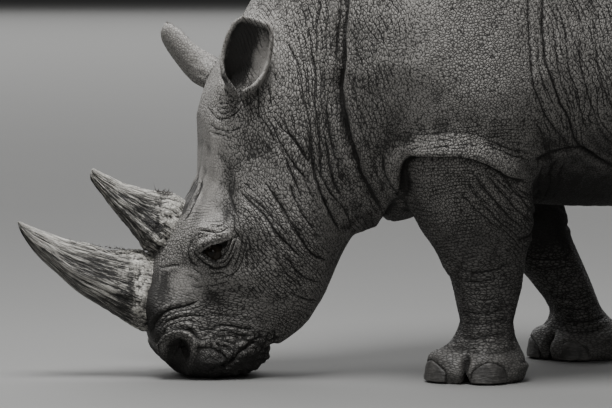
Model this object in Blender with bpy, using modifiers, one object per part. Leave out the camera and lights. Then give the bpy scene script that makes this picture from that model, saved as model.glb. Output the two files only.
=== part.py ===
"""A life-size grazing white rhinoceros, modelled as a still figure in metres, +Z up, facing -X.

The body is lofted through named stations, blended into one form and parted into its named
pieces by thin cuts. While it is modelled, x is measured from under the left fore foot; at the
end the whole figure is set with the bottom centre of its box on the origin."""

import math

import bmesh
import bpy
import numpy as np
from mathutils import Matrix, Vector

# ---------------------------------------------------------------- driving dimensions (metres)
FORE_GAUGE = 0.235  # from the mid-plane to the middle of each fore leg
HIND_GAUGE = 0.25
RIGHT_FORE_STEP = 0.40  # how far the right fore foot stands behind the left one
LEFT_HIND_X = 1.72
RIGHT_HIND_STEP = 0.20
GAP = 0.0003  # clearance between neighbouring pieces
NAIL_GAP = 0.0014
CUT = 0.0006  # thickness of the cuts that part the body

BLEND_VOXEL = 0.016  # grain of the blended body
BODY_FACES = 3350  # triangles of the body before it is parted
RING = 40  # points round a lofted section
LEG_SQUARENESS = 2.2
STEPS = 5  # rings between two stations
FLOW_PASSES = 30
HORN_RING, HORN_STEPS = 16, 1
HORN_SQUARENESS, HORN_KEEL = 2.2, 0.12  # the keel narrows the upper side
EAR_RING, EAR_STEPS, EAR_WALL = 10, 1, 0.009
TAIL_RING, TAIL_STEPS = 10, 1
EYE_RADIUS, EYE_DEPTH = 0.026, 0.022
EYE_PLACE = (-0.682, 0.338)  # x, z
NAIL_ROWS, NAIL_COLUMNS, NAIL_WALL = 1, 6, 0.012
NAIL_SPREAD, NAIL_HEIGHT, NAIL_FOOT, NAIL_FLARE, NAIL_SLOPE = 54, 0.058, 0.003, 0.985, 0.16
NAIL_BEND = 1.5
NAIL_CORNER, NAIL_ROUND = 0.30, 1.3  # how the upper edge falls away to both sides
DOOR_ARC, DOOR_OUT, DOOR_PIVOT = 14, 0.9, 0.95
DOOR_BOTTOM = -0.1
LEAN_CURVE = 1.45  # above 1, a leaning leg stays under the body for longer before it slants
FLAT = 0.002  # what lies lower than this is set on the floor
FOOT_TOP = 0.115  # height of the cut between leg and foot

# block round each leg: middle x, half length, height where its arch springs, rise of the arch, lean, inner y
LEG_DOORS = {
    "fore_left": (-0.012, 0.200, 0.40, 0.185, 0.0, 0.10),
    "fore_right": (-0.012, 0.200, 0.40, 0.185, RIGHT_FORE_STEP, 0.10),
    "hind_left": (1.765, 0.340, 0.66, 0.36, 0.0, 0.09),
    "hind_right": (1.765, 0.340, 0.66, 0.36, RIGHT_HIND_STEP, 0.09),
}
SHOULDER_CUT = ((-0.29, 0.0, 0.80), (1.0, 0.0, 0.12))  # a point on the cut, and the way to the trunk
HEAD_CUT = ((-0.46, 0.0, 0.66), (0.90, 0.0, 0.44))  # the same, and the way to the neck

HIDE = (0.27, 0.26, 0.245, 1.0)
HORN = (0.36, 0.33, 0.29, 1.0)
NAIL = (0.30, 0.28, 0.25, 1.0)
EYE = (0.02, 0.015, 0.012, 1.0)


# ---------------------------------------------------------------- tools
def clear_scene():
    for obj in list(bpy.data.objects):
        bpy.data.objects.remove(obj, do_unlink=True)


def collection(name):
    made = bpy.data.collections.new(name)
    bpy.context.scene.collection.children.link(made)
    return made


def material(name, colour, roughness):
    made = bpy.data.materials.new(name)
    made.use_nodes = True
    shader = made.node_tree.nodes["Principled BSDF"]
    shader.inputs["Base Color"].default_value = colour
    shader.inputs["Roughness"].default_value = roughness
    shader.inputs["Metallic"].default_value = 0.0
    made.diffuse_color = colour
    return made


def spline(values, t):
    """Catmull-Rom through a list of numbers or vectors, t from 0 to len(values) - 1."""
    i = min(int(t), len(values) - 2)
    f = t - i
    a, b = values[max(i - 1, 0)], values[i]
    c, d = values[i + 1], values[min(i + 2, len(values) - 1)]
    return 0.5 * (2 * b + (c - a) * f + (2 * a - 5 * b + 4 * c - d) * f**2 + (3 * b - a - 3 * c + d) * f**3)


def oval(angle, power):
    """A point on a unit superellipse: power 2 is a circle, more is squarer."""
    c, s = math.cos(angle), math.sin(angle)
    return math.copysign(abs(c) ** (2 / power), c), math.copysign(abs(s) ** (2 / power), s)


def mesh_object(name, bm, where, finish):
    bmesh.ops.recalc_face_normals(bm, faces=bm.faces)
    mesh = bpy.data.meshes.new(name)
    bm.to_mesh(mesh)
    bm.free()
    mesh.materials.append(finish)
    made = bpy.data.objects.new(name, mesh)
    where.objects.link(made)
    return made


def skin_rings(bm, rings):
    """Walls between successive rings of points, with a fan at each end."""
    rows = [[bm.verts.new(p) for p in ring] for ring in rings]
    for row, following in zip(rows, rows[1:]):
        for i in range(len(row)):
            j = (i + 1) % len(row)
            bm.faces.new((row[i], row[j], following[j], following[i]))
    for row in (rows[0], rows[-1]):
        middle = bm.verts.new(sum((v.co for v in row), Vector()) / len(row))
        for i in range(len(row)):
            bm.faces.new((row[i], row[(i + 1) % len(row)], middle))


def baked(obj):
    """The object's modifiers applied, by replacing its mesh with the evaluated one."""
    bpy.context.view_layer.update()
    graph = bpy.context.evaluated_depsgraph_get()
    mesh = bpy.data.meshes.new_from_object(obj.evaluated_get(graph))
    obj.modifiers.clear()
    obj.data = mesh
    return obj


def ellipsoid(bm, centre, radii):
    place = Matrix.Translation(centre) @ Matrix.Diagonal((*radii, 1))
    bmesh.ops.create_icosphere(bm, subdivisions=4, radius=1, matrix=place)


# ---------------------------------------------------------------- trunk, neck and head
# name, back (x, z), belly (x, z), half width, level of the widest part, squareness above and below
STATIONS = (
    ("rump", (2.165, 1.24), (2.175, 1.02), 0.10, 0.5, 2.0, 2.0),
    ("tail_root", (2.10, 1.42), (2.13, 0.84), 0.25, 0.5, 2.0, 2.0),
    ("buttocks", (1.97, 1.56), (2.01, 0.74), 0.37, 0.5, 2.1, 2.1),
    ("sacrum", (1.74, 1.655), (1.80, 0.66), 0.44, 0.48, 2.1, 2.2),
    ("hips", (1.48, 1.645), (1.50, 0.585), 0.47, 0.46, 2.1, 2.3),
    ("loin", (1.20, 1.585), (1.22, 0.52), 0.50, 0.44, 2.1, 2.3),
    ("mid_back", (0.90, 1.555), (0.90, 0.47), 0.515, 0.44, 2.1, 2.3),
    ("ribs", (0.60, 1.57), (0.60, 0.44), 0.49, 0.45, 2.0, 2.3),
    ("girth", (0.33, 1.62), (0.32, 0.435), 0.44, 0.46, 1.95, 2.2),
    ("withers", (0.10, 1.685), (0.07, 0.455), 0.405, 0.46, 1.9, 2.2),
    ("hump", (-0.10, 1.715), (-0.08, 0.44), 0.385, 0.46, 1.9, 2.2),
    ("shoulder_point", (-0.27, 1.65), (-0.17, 0.415), 0.36, 0.45, 1.9, 2.1),
    ("neck_root", (-0.405, 1.50), (-0.225, 0.40), 0.325, 0.44, 1.9, 2.1),
    ("mid_neck", (-0.468, 1.30), (-0.265, 0.385), 0.285, 0.44, 1.9, 2.1),
    ("nape", (-0.516, 1.08), (-0.295, 0.385), 0.25, 0.45, 2.0, 2.1),
    ("crest", (-0.594, 0.922), (-0.305, 0.37), 0.23, 0.5, 2.2, 2.1),
    ("poll", (-0.66, 0.80), (-0.312, 0.34), 0.215, 0.52, 2.3, 2.1),
    ("temple", (-0.705, 0.70), (-0.328, 0.30), 0.205, 0.52, 2.4, 2.1),
    ("forehead", (-0.706, 0.60), (-0.347, 0.262), 0.195, 0.5, 2.4, 2.1),
    ("brow", (-0.712, 0.51), (-0.363, 0.22), 0.185, 0.5, 2.4, 2.1),
    ("rear_horn_seat", (-0.772, 0.42), (-0.385, 0.178), 0.165, 0.5, 2.3, 2.1),
    ("bridge", (-0.825, 0.325), (-0.42, 0.13), 0.145, 0.46, 2.2, 2.2),
    ("front_horn_seat", (-0.850, 0.22), (-0.466, 0.096), 0.135, 0.44, 2.2, 2.3),
    ("nostrils", (-0.842, 0.125), (-0.512, 0.060), 0.135, 0.46, 2.4, 2.5),
    ("upper_lip", (-0.812, 0.06), (-0.542, 0.030), 0.128, 0.5, 2.6, 2.6),
    ("mouth", (-0.772, 0.016), (-0.575, 0.008), 0.110, 0.5, 2.6, 2.6),
    ("lip_sole", (-0.735, 0.0), (-0.605, 0.0), 0.085, 0.5, 2.4, 2.4),
)


def body_core(bm):
    backs = [Vector(s[1]) for s in STATIONS]
    bellies = [Vector(s[2]) for s in STATIONS]
    numbers = [Vector(s[3:6]) for s in STATIONS]
    lower_powers = [s[6] for s in STATIONS]
    rings = []
    for n in range((len(STATIONS) - 1) * STEPS + 1):
        t = n / STEPS
        back, belly = spline(backs, t), spline(bellies, t)
        half_width, level, power = spline(numbers, t)
        lower_power = spline(lower_powers, t)
        rise = back - belly
        middle = belly + rise * level
        ring = []
        for k in range(RING):
            side, up = oval(2 * math.pi * k / RING, power if k <= RING / 2 else lower_power)
            at = middle + rise * up * (1 - level if up > 0 else level)
            ring.append(Vector((at.x, side * half_width, max(at.y, 0.0))))
        rings.append(ring)
    skin_rings(bm, rings)


# name, centre on the left side, radii of its reach, height of the swelling (below 0 a hollow)
MUSCLES = (
    ("hump", (-0.10, 0.0, 1.72), (0.22, 0.14, 0.16), 0.020),
    ("shoulder_blade", (0.05, -0.36, 1.16), (0.24, 0.26, 0.40), 0.050),
    ("shoulder_joint", (-0.17, -0.34, 0.88), (0.17, 0.20, 0.22), 0.040),
    ("upper_arm", (0.06, -0.36, 0.74), (0.24, 0.18, 0.17), 0.055),
    ("behind_shoulder", (0.42, -0.42, 1.02), (0.10, 0.26, 0.36), -0.022),
    ("ribs", (0.90, -0.50, 0.86), (0.46, 0.26, 0.34), 0.025),
    ("flank", (1.30, -0.44, 1.20), (0.16, 0.22, 0.22), -0.035),
    ("hip_bone", (1.43, -0.33, 1.50), (0.14, 0.16, 0.13), 0.030),
    ("haunch", (1.78, -0.40, 1.12), (0.27, 0.24, 0.38), 0.060),
    ("buttock", (2.06, -0.24, 0.98), (0.16, 0.16, 0.26), 0.035),
    ("tail_furrow", (2.16, 0.0, 1.12), (0.12, 0.06, 0.30), -0.035),
    ("dewlap", (-0.15, 0.0, 0.44), (0.09, 0.16, 0.10), 0.018),
    ("jaw_muscle", (-0.44, -0.20, 0.40), (0.11, 0.12, 0.17), 0.024),
    ("temple_hollow", (-0.60, -0.20, 0.60), (0.07, 0.12, 0.09), -0.020),
    ("throat_latch", (-0.385, -0.24, 0.62), (0.05, 0.16, 0.24), -0.018),
    ("orbit", (-0.70, -0.17, 0.355), (0.055, 0.08, 0.055), 0.022),
    ("cheek_bone", (-0.60, -0.19, 0.40), (0.10, 0.09, 0.07), 0.014),
    ("muzzle_side", (-0.66, -0.15, 0.20), (0.08, 0.09, 0.07), -0.012),
    ("forehead", (-0.72, 0.0, 0.61), (0.06, 0.09, 0.10), -0.010),
    ("crest_corner", (-0.60, -0.12, 0.87), (0.06, 0.08, 0.09), 0.014),
    ("ear_root", (-0.665, -0.14, 0.775), (0.045, 0.055, 0.045), 0.022),
    ("nose_wing", (-0.785, -0.115, 0.085), (0.045, 0.06, 0.045), 0.020),
    ("lip_pad", (-0.64, -0.13, 0.035), (0.11, 0.06, 0.035), 0.010),
)


def coordinates(mesh, field="co"):
    values = np.empty(len(mesh.vertices) * 3)
    mesh.vertices.foreach_get(field, values)
    return values.reshape(-1, 3)


def swell(body):
    """Raises or hollows the surface along its normals, most at each muscle's centre."""
    mesh = body.data
    points, normals = coordinates(mesh), coordinates(mesh, "normal")
    height = np.zeros(len(points))
    for _, centre, radii, rise in MUSCLES:
        for side in (1, -1) if centre[1] else (1,):
            at = np.array(centre) * (1, side, 1)
            height += rise * np.exp(-(((points - at) / radii) ** 2).sum(axis=1))
    points += normals * height[:, None]
    points[:, 2] = np.maximum(points[:, 2], 0)
    mesh.vertices.foreach_set("co", points.ravel())
    mesh.update()


# ---------------------------------------------------------------- legs
# height, front x, rear x, half width, measured from the middle of the foot
FORE_LEG = (
    (0.000, -0.128, 0.120, 0.122),
    (0.030, -0.138, 0.132, 0.130),
    (0.060, -0.118, 0.128, 0.116),
    (0.090, -0.080, 0.108, 0.094),
    (0.120, -0.056, 0.093, 0.079),
    (0.150, -0.047, 0.093, 0.075),
    (0.190, -0.053, 0.103, 0.078),
    (0.240, -0.066, 0.116, 0.083),
    (0.290, -0.082, 0.123, 0.088),
    (0.340, -0.112, 0.130, 0.094),
    (0.390, -0.150, 0.146, 0.105),
    (0.450, -0.172, 0.157, 0.120),
    (0.530, -0.188, 0.158, 0.135),
    (0.640, -0.188, 0.155, 0.145),
    (0.780, -0.160, 0.160, 0.140),
    (0.950, -0.090, 0.130, 0.080),
)
HIND_LEG = (
    (0.000, -0.118, 0.110, 0.110),
    (0.030, -0.128, 0.120, 0.118),
    (0.060, -0.110, 0.116, 0.108),
    (0.090, -0.082, 0.102, 0.092),
    (0.130, -0.066, 0.090, 0.080),
    (0.200, -0.070, 0.094, 0.078),
    (0.280, -0.080, 0.108, 0.080),
    (0.360, -0.088, 0.134, 0.084),
    (0.430, -0.102, 0.160, 0.092),
    (0.500, -0.138, 0.172, 0.106),
    (0.580, -0.208, 0.184, 0.126),
    (0.680, -0.290, 0.214, 0.150),
    (0.790, -0.335, 0.262, 0.170),
    (0.920, -0.345, 0.310, 0.180),
    (1.080, -0.320, 0.320, 0.175),
    (1.250, -0.220, 0.240, 0.140),
    (1.380, -0.100, 0.120, 0.070),
)
ANKLE_HEIGHT = 0.08  # below this the whole foot moves as one when the leg leans


def leg(bm, outline, foot_x, lean, side_y):
    """A leg whose foot stands `lean` behind its place under the hip."""
    pivot = outline[-1][0]
    rings = []
    rows = [Vector(row) for row in outline]
    for n in range((len(rows) - 1) * STEPS + 1):
        height, front, rear, half_width = spline(rows, n / STEPS)
        drop = min(1.0, max(0.0, (pivot - height) / (pivot - ANKLE_HEIGHT)))
        shift = foot_x + lean * drop**LEAN_CURVE
        middle, half_length = (front + rear) / 2, (rear - front) / 2
        ring = []
        for k in range(RING):
            along, across = oval(2 * math.pi * k / RING, LEG_SQUARENESS)
            y = side_y + across * half_width
            ring.append(Vector((shift + middle + along * half_length, y, max(height, 0))))
        rings.append(ring)
    skin_rings(bm, rings)


# direction of each toe from the foot's own front, reach from its middle, radius, half height
TOE_LEVEL = 0.72  # height of a toe's middle, as a share of its half height
TOES = {"inner": (-70, 0.078, 0.056, 0.052), "middle": (0, 0.087, 0.063, 0.058), "outer": (74, 0.079, 0.059, 0.055)}


def feet():
    """name, x, y, size and turn-out of each foot, with -y for the left side."""
    return (
        ("fore_left", 0.0, -FORE_GAUGE, 1.0, 17),
        ("fore_right", RIGHT_FORE_STEP, FORE_GAUGE, 1.0, 6),
        ("hind_left", LEFT_HIND_X, -HIND_GAUGE, 0.9, 10),
        ("hind_right", LEFT_HIND_X + RIGHT_HIND_STEP, HIND_GAUGE, 0.9, 10),
    )


def toe_direction(angle, y):
    """Unit vector from the foot's middle; positive angles point away from the mid-plane."""
    side = -1 if y < 0 else 1
    turn = math.radians(angle)
    return Vector((-math.cos(turn), side * math.sin(turn), 0))


def toes(bm):
    for _, x, y, size, turn_out in feet():
        for angle, reach, radius, half_height in TOES.values():
            at = Vector((x, y, half_height * TOE_LEVEL * size)) + toe_direction(angle + turn_out, y) * reach * size
            ellipsoid(bm, at, (radius * size, radius * size, half_height * size))


def blended_body(where, finish):
    bm = bmesh.new()
    body_core(bm)
    leg(bm, FORE_LEG, 0.0, 0.0, -FORE_GAUGE)
    leg(bm, FORE_LEG, 0.0, RIGHT_FORE_STEP, FORE_GAUGE)
    leg(bm, HIND_LEG, LEFT_HIND_X, 0.0, -HIND_GAUGE)
    leg(bm, HIND_LEG, LEFT_HIND_X, RIGHT_HIND_STEP, HIND_GAUGE)
    toes(bm)
    body = mesh_object("body", bm, where, finish)
    remesh = body.modifiers.new("blend", "REMESH")
    remesh.mode = "VOXEL"
    remesh.voxel_size = BLEND_VOXEL
    baked(body)
    smoothed(body)
    swell(body)
    return body


def smoothed(body):
    """Smooths the joins: a lot on the trunk, little on the face and the feet."""
    points = coordinates(body.data)
    low = np.clip((0.30 - points[:, 2]) / 0.15, 0, 1)
    face = np.clip((-0.35 - points[:, 0]) / 0.15, 0, 1)
    group = body.vertex_groups.new(name="flow")
    weights = 1 - 0.75 * np.maximum(low, face)
    for i, weight in enumerate(weights):
        group.add([i], float(weight), "REPLACE")
    flow = body.modifiers.new("flow", "SMOOTH")
    flow.factor = 0.5
    flow.iterations = FLOW_PASSES
    flow.vertex_group = group.name
    baked(body)


# ---------------------------------------------------------------- horns, eyes, ears, nails, tail
# upper edge (x, z), lower edge (x, z), half width; the first stations lie inside the head
FRONT_HORN = (
    ((-0.790, 0.315), (-0.790, 0.122), 0.076),
    ((-0.850, 0.325), (-0.850, 0.122), 0.080),
    ((-0.912, 0.333), (-0.905, 0.150), 0.071),
    ((-0.972, 0.345), (-0.960, 0.184), 0.060),
    ((-1.045, 0.362), (-1.024, 0.226), 0.046),
    ((-1.102, 0.382), (-1.084, 0.280), 0.033),
    ((-1.146, 0.398), (-1.136, 0.332), 0.021),
    ((-1.172, 0.409), (-1.168, 0.378), 0.011),
    ((-1.180, 0.413), (-1.179, 0.404), 0.004),
)
REAR_HORN = (
    ((-0.722, 0.450), (-0.808, 0.315), 0.058),
    ((-0.756, 0.476), (-0.846, 0.338), 0.061),
    ((-0.805, 0.486), (-0.868, 0.366), 0.053),
    ((-0.855, 0.497), (-0.898, 0.404), 0.044),
    ((-0.905, 0.514), (-0.928, 0.440), 0.035),
    ((-0.950, 0.532), (-0.960, 0.484), 0.025),
    ((-0.977, 0.544), (-0.985, 0.518), 0.015),
    ((-0.985, 0.547), (-0.989, 0.533), 0.007),
)


def horn(name, stations, where, finish):
    bm = bmesh.new()
    uppers, lowers = [Vector(s[0]) for s in stations], [Vector(s[1]) for s in stations]
    widths = [s[2] for s in stations]
    rings = []
    for n in range((len(stations) - 1) * HORN_STEPS + 1):
        t = n / HORN_STEPS
        upper, lower, half_width = spline(uppers, t), spline(lowers, t), spline(widths, t)
        middle, half_rise = (upper + lower) / 2, (upper - lower) / 2
        ring = []
        for k in range(HORN_RING):
            side, up = oval(2 * math.pi * k / HORN_RING, HORN_SQUARENESS)
            at = middle + half_rise * up
            ring.append(Vector((at.x, side * half_width * (1 - HORN_KEEL * up), at.y)))
        rings.append(ring)
    skin_rings(bm, rings)
    return mesh_object(name, bm, where, finish)


# along the ear: half width, depth of the cup, and how far round the wall reaches from its back (degrees)
EAR = (
    (-0.30, 0.034, 0.038, 170),
    (0.00, 0.040, 0.043, 168),
    (0.11, 0.050, 0.045, 130),
    (0.28, 0.058, 0.043, 106),
    (0.50, 0.061, 0.039, 98),
    (0.72, 0.058, 0.034, 102),
    (0.89, 0.050, 0.028, 94),
    (1.00, 0.030, 0.018, 88),
)
# side, base, tip, direction that the opening faces
EARS = (
    ("ear_left", (-0.624, -0.180, 0.768), (-0.588, -0.225, 0.938), (-0.24, -0.95, 0.12)),
    ("ear_right", (-0.648, 0.170, 0.792), (-0.752, 0.245, 0.912), (0.53, 0.29, 0.76)),
)


ROOT_PULL, ROOT_BEND = Vector((0.22, -0.42, -0.08)), 0.22  # below ROOT_BEND the ear bends to the skull


def ear(name, base, tip, facing, where, finish):
    base, tip = Vector(base), Vector(tip)
    axis = tip - base
    side = Vector((1, -1 if base.y < 0 else 1, 1))
    facing = Vector(facing)
    facing = (facing - axis * facing.dot(axis) / axis.length_squared).normalized()
    across = axis.normalized().cross(facing)
    across = -across if across.x < 0 else across
    bm = bmesh.new()
    rows = []
    shape = [Vector(row) for row in EAR]
    for n in range((len(EAR) - 1) * EAR_STEPS + 1):
        along, half_width, depth, reach = spline(shape, n / EAR_STEPS)
        middle = base + axis * along + Vector(a * b for a, b in zip(ROOT_PULL, side)) * max(0.0, ROOT_BEND - along) ** 2
        row = []
        for k in range(EAR_RING + 1):
            turn = math.radians(reach) * (2 * k / EAR_RING - 1)
            at = middle + across * half_width * math.sin(turn) - facing * depth * math.cos(turn)
            row.append(bm.verts.new(at))
        rows.append(row)
    for row, following in zip(rows, rows[1:]):
        for k in range(EAR_RING):
            bm.faces.new((row[k], row[k + 1], following[k + 1], following[k]))
    made = mesh_object(name, bm, where, finish)
    wall = made.modifiers.new("wall", "SOLIDIFY")
    wall.thickness = EAR_WALL
    wall.offset = 0
    return baked(made)


def side_of(body, x, z, side):
    """Where a line along Y from outside first meets the body."""
    hit, at, _, _ = body.ray_cast(Vector((x, side * 2, z)), Vector((0, -side, 0)))
    if not hit:
        raise RuntimeError("the eye's line misses the head")
    return at


def eye(name, body, side, where, finish):
    surface = side_of(body, *EYE_PLACE, side)
    bm = bmesh.new()
    centre = surface - Vector((0, side * EYE_DEPTH, 0))
    bmesh.ops.create_uvsphere(bm, u_segments=12, v_segments=8, radius=EYE_RADIUS,
                              matrix=Matrix.Translation(centre))
    return mesh_object(name, bm, where, finish)


TAIL = (  # middle (x, z), radius fore and aft, radius across
    ((2.050, 1.420), 0.070, 0.065),
    ((2.130, 1.375), 0.062, 0.062),
    ((2.186, 1.290), 0.048, 0.052),
    ((2.210, 1.180), 0.037, 0.041),
    ((2.222, 1.060), 0.029, 0.032),
    ((2.224, 0.940), 0.023, 0.026),
    ((2.222, 0.840), 0.018, 0.027),
    ((2.220, 0.765), 0.010, 0.020),
)


def tail(where, finish):
    bm = bmesh.new()
    middles = [Vector(s[0]) for s in TAIL]
    radii = [Vector(s[1:]) for s in TAIL]
    last = (len(TAIL) - 1) * TAIL_STEPS
    rings = []
    for n in range(last + 1):
        t = n / TAIL_STEPS
        middle = spline(middles, t)
        ahead = spline(middles, min(t + 0.05, len(TAIL) - 1)) - spline(middles, max(t - 0.05, 0))
        out = Vector((ahead.y, -ahead.x)).normalized()
        fore, across = spline(radii, t)
        ring = []
        for k in range(TAIL_RING):
            turn = 2 * math.pi * k / TAIL_RING
            at = middle + out * fore * math.cos(turn)
            ring.append(Vector((at.x, across * math.sin(turn), at.y)))
        rings.append(ring)
    skin_rings(bm, rings)
    return mesh_object("tail", bm, where, finish)


def nail(name, foot, toe, grow, where, finish):
    """A curved plate round the front of a toe. grow thickens it all round, for the cutter of its bed."""
    _, x, y, size, turn_out = foot
    angle, reach, radius, _ = toe
    ahead = toe_direction(angle + turn_out, y)
    across = Vector((-ahead.y, ahead.x, 0))
    heart = Vector((x, y, 0)) + ahead * reach * size
    bm = bmesh.new()
    rows = []
    spread = math.radians(NAIL_SPREAD) + grow / radius
    for i in range(NAIL_ROWS + 1):
        level = i / NAIL_ROWS
        row = []
        for k in range(NAIL_COLUMNS + 1):
            turn = spread * (2 * k / NAIL_COLUMNS - 1)
            top = NAIL_HEIGHT * size * (NAIL_CORNER + (1 - NAIL_CORNER) * math.cos(turn * NAIL_ROUND)) + grow
            height = NAIL_FOOT - grow + (top - NAIL_FOOT + grow) * level
            out = radius * size * (NAIL_FLARE - NAIL_SLOPE * (height / NAIL_HEIGHT) ** NAIL_BEND)
            at = heart + (ahead * math.cos(turn) + across * math.sin(turn)) * out
            row.append(bm.verts.new((at.x, at.y, height)))
        rows.append(row)
    for row, following in zip(rows, rows[1:]):
        for k in range(NAIL_COLUMNS):
            bm.faces.new((row[k], row[k + 1], following[k + 1], following[k]))
    made = mesh_object(name, bm, where, finish)
    plate = made.modifiers.new("plate", "SOLIDIFY")
    plate.thickness = NAIL_WALL + 2 * grow
    plate.offset = 0
    plate.use_even_offset = True
    return baked(made)


# ---------------------------------------------------------------- parting the body
def boolean(obj, other, operation):
    modifier = obj.modifiers.new(operation.lower(), "BOOLEAN")
    modifier.operation = operation
    modifier.object = other
    modifier.solver = "EXACT"
    baked(obj)


def copy_of(obj, name, where):
    made = obj.copy()
    made.data = obj.data.copy()
    made.name = name
    where.objects.link(made)
    return made


def door(name, middle_x, half_length, spring, rise, lean, inner_y, side, grow, where, finish):
    """A block round a leg: straight sides up to `spring`, then an arch `rise` high, sheared by lean."""
    outline = [(-half_length - grow, DOOR_BOTTOM), (half_length + grow, DOOR_BOTTOM)]
    for k in range(DOOR_ARC + 1):
        turn = math.pi * k / DOOR_ARC
        outline.append(((half_length + grow) * math.cos(turn), spring + (rise + grow) * math.sin(turn)))
    bm = bmesh.new()
    ends = []
    for y in (inner_y - grow, DOOR_OUT + grow):
        ring = []
        for along, height in outline:
            shear = lean * max(0.0, 1 - height / DOOR_PIVOT) ** LEAN_CURVE
            ring.append(bm.verts.new((middle_x + along + shear, side * y, height)))
        ends.append(ring)
    bm.faces.new(ends[0])
    bm.faces.new(ends[1])
    count = len(outline)
    for i in range(count):
        j = (i + 1) % count
        bm.faces.new((ends[0][i], ends[0][j], ends[1][j], ends[1][i]))
    return mesh_object(name, bm, where, finish)


def cut_plane(obj, point, normal, name, where):
    """Parts obj by a thin cut: obj keeps the side that normal points to, and the rest is returned."""
    normal = Vector(normal).normalized()
    rest = copy_of(obj, name, where)
    for piece, way in ((obj, 1), (rest, -1)):
        bm = bmesh.new()
        bm.from_mesh(piece.data)
        geometry = bm.verts[:] + bm.edges[:] + bm.faces[:]
        at = Vector(point) + normal * way * CUT / 2
        cut = bmesh.ops.bisect_plane(bm, geom=geometry, dist=1e-7, plane_co=at, plane_no=normal * way,
                                     clear_inner=True)
        edges = [e for e in cut["geom_cut"] if isinstance(e, bmesh.types.BMEdge)]
        bmesh.ops.triangle_fill(bm, use_beauty=True, use_dissolve=False, edges=edges)
        bmesh.ops.recalc_face_normals(bm, faces=bm.faces)
        bm.to_mesh(piece.data)
        bm.free()
    return rest


def simplified(body):
    """Fewer faces for the solids, with most of them kept on the head and the feet."""
    points = coordinates(body.data)
    low = np.clip((0.22 - points[:, 2]) / 0.10, 0, 1)
    face = np.clip((-0.40 - points[:, 0]) / 0.15, 0, 1)
    group = body.vertex_groups.new(name="plain")
    for i, weight in enumerate(1 - np.maximum(0.5 * low, 0.8 * face)):
        group.add([i], float(weight), "REPLACE")
    fewer = body.modifiers.new("fewer", "DECIMATE")
    fewer.ratio = BODY_FACES / (2 * len(body.data.polygons))
    fewer.vertex_group = group.name
    fewer.vertex_group_factor = 0.01
    baked(body)
    body.vertex_groups.clear()
    for vert in body.data.vertices:  # soles and lips rest on the floor on true flats
        if vert.co.z < FLAT:
            vert.co.z = 0.0


def on_the_origin(parts):
    """Sets the bottom centre of the whole figure's box on the origin, keeping the mid-plane at y = 0."""
    points = np.concatenate([coordinates(obj.data) for obj in parts])
    lowest, highest = points.min(axis=0), points.max(axis=0)
    shift = Vector((-(lowest[0] + highest[0]) / 2, 0, -lowest[2]))
    for obj in parts:
        obj.data.transform(Matrix.Translation(shift))
    print("figure", (highest - lowest).round(3), "shift", tuple(round(c, 4) for c in shift))


def centre_of(obj):
    points = coordinates(obj.data)
    return Vector((points.min(axis=0) + points.max(axis=0)) / 2)


def triangulated(obj):
    """Splits the many-sided faces that cuts leave, so that a copy of the piece bends just as it does."""
    bm = bmesh.new()
    bm.from_mesh(obj.data)
    bmesh.ops.triangulate(bm, faces=bm.faces)
    bm.to_mesh(obj.data)
    bm.free()


def grown_copy(obj, name, where):
    """The same shape pushed out by the gap that neighbours keep."""
    made = copy_of(obj, name, where)
    mesh = made.data
    mesh.update()
    points, normals = coordinates(mesh), coordinates(mesh, "normal")
    mesh.vertices.foreach_set("co", (points + normals * 2 * GAP).ravel())
    mesh.update()
    return made


def keep_largest(obj):
    """Drops the scraps that a cut leaves loose."""
    bm = bmesh.new()
    bm.from_mesh(obj.data)
    islands, seen = [], set()
    for start in bm.verts:
        if start in seen:
            continue
        stack, island = [start], []
        seen.add(start)
        while stack:
            vert = stack.pop()
            island.append(vert)
            for edge in vert.link_edges:
                other = edge.other_vert(vert)
                if other not in seen:
                    seen.add(other)
                    stack.append(other)
        islands.append(island)
    islands.sort(key=len)
    for island in islands[:-1]:
        bmesh.ops.delete(bm, geom=island, context="VERTS")
    bm.to_mesh(obj.data)
    bm.free()


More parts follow.
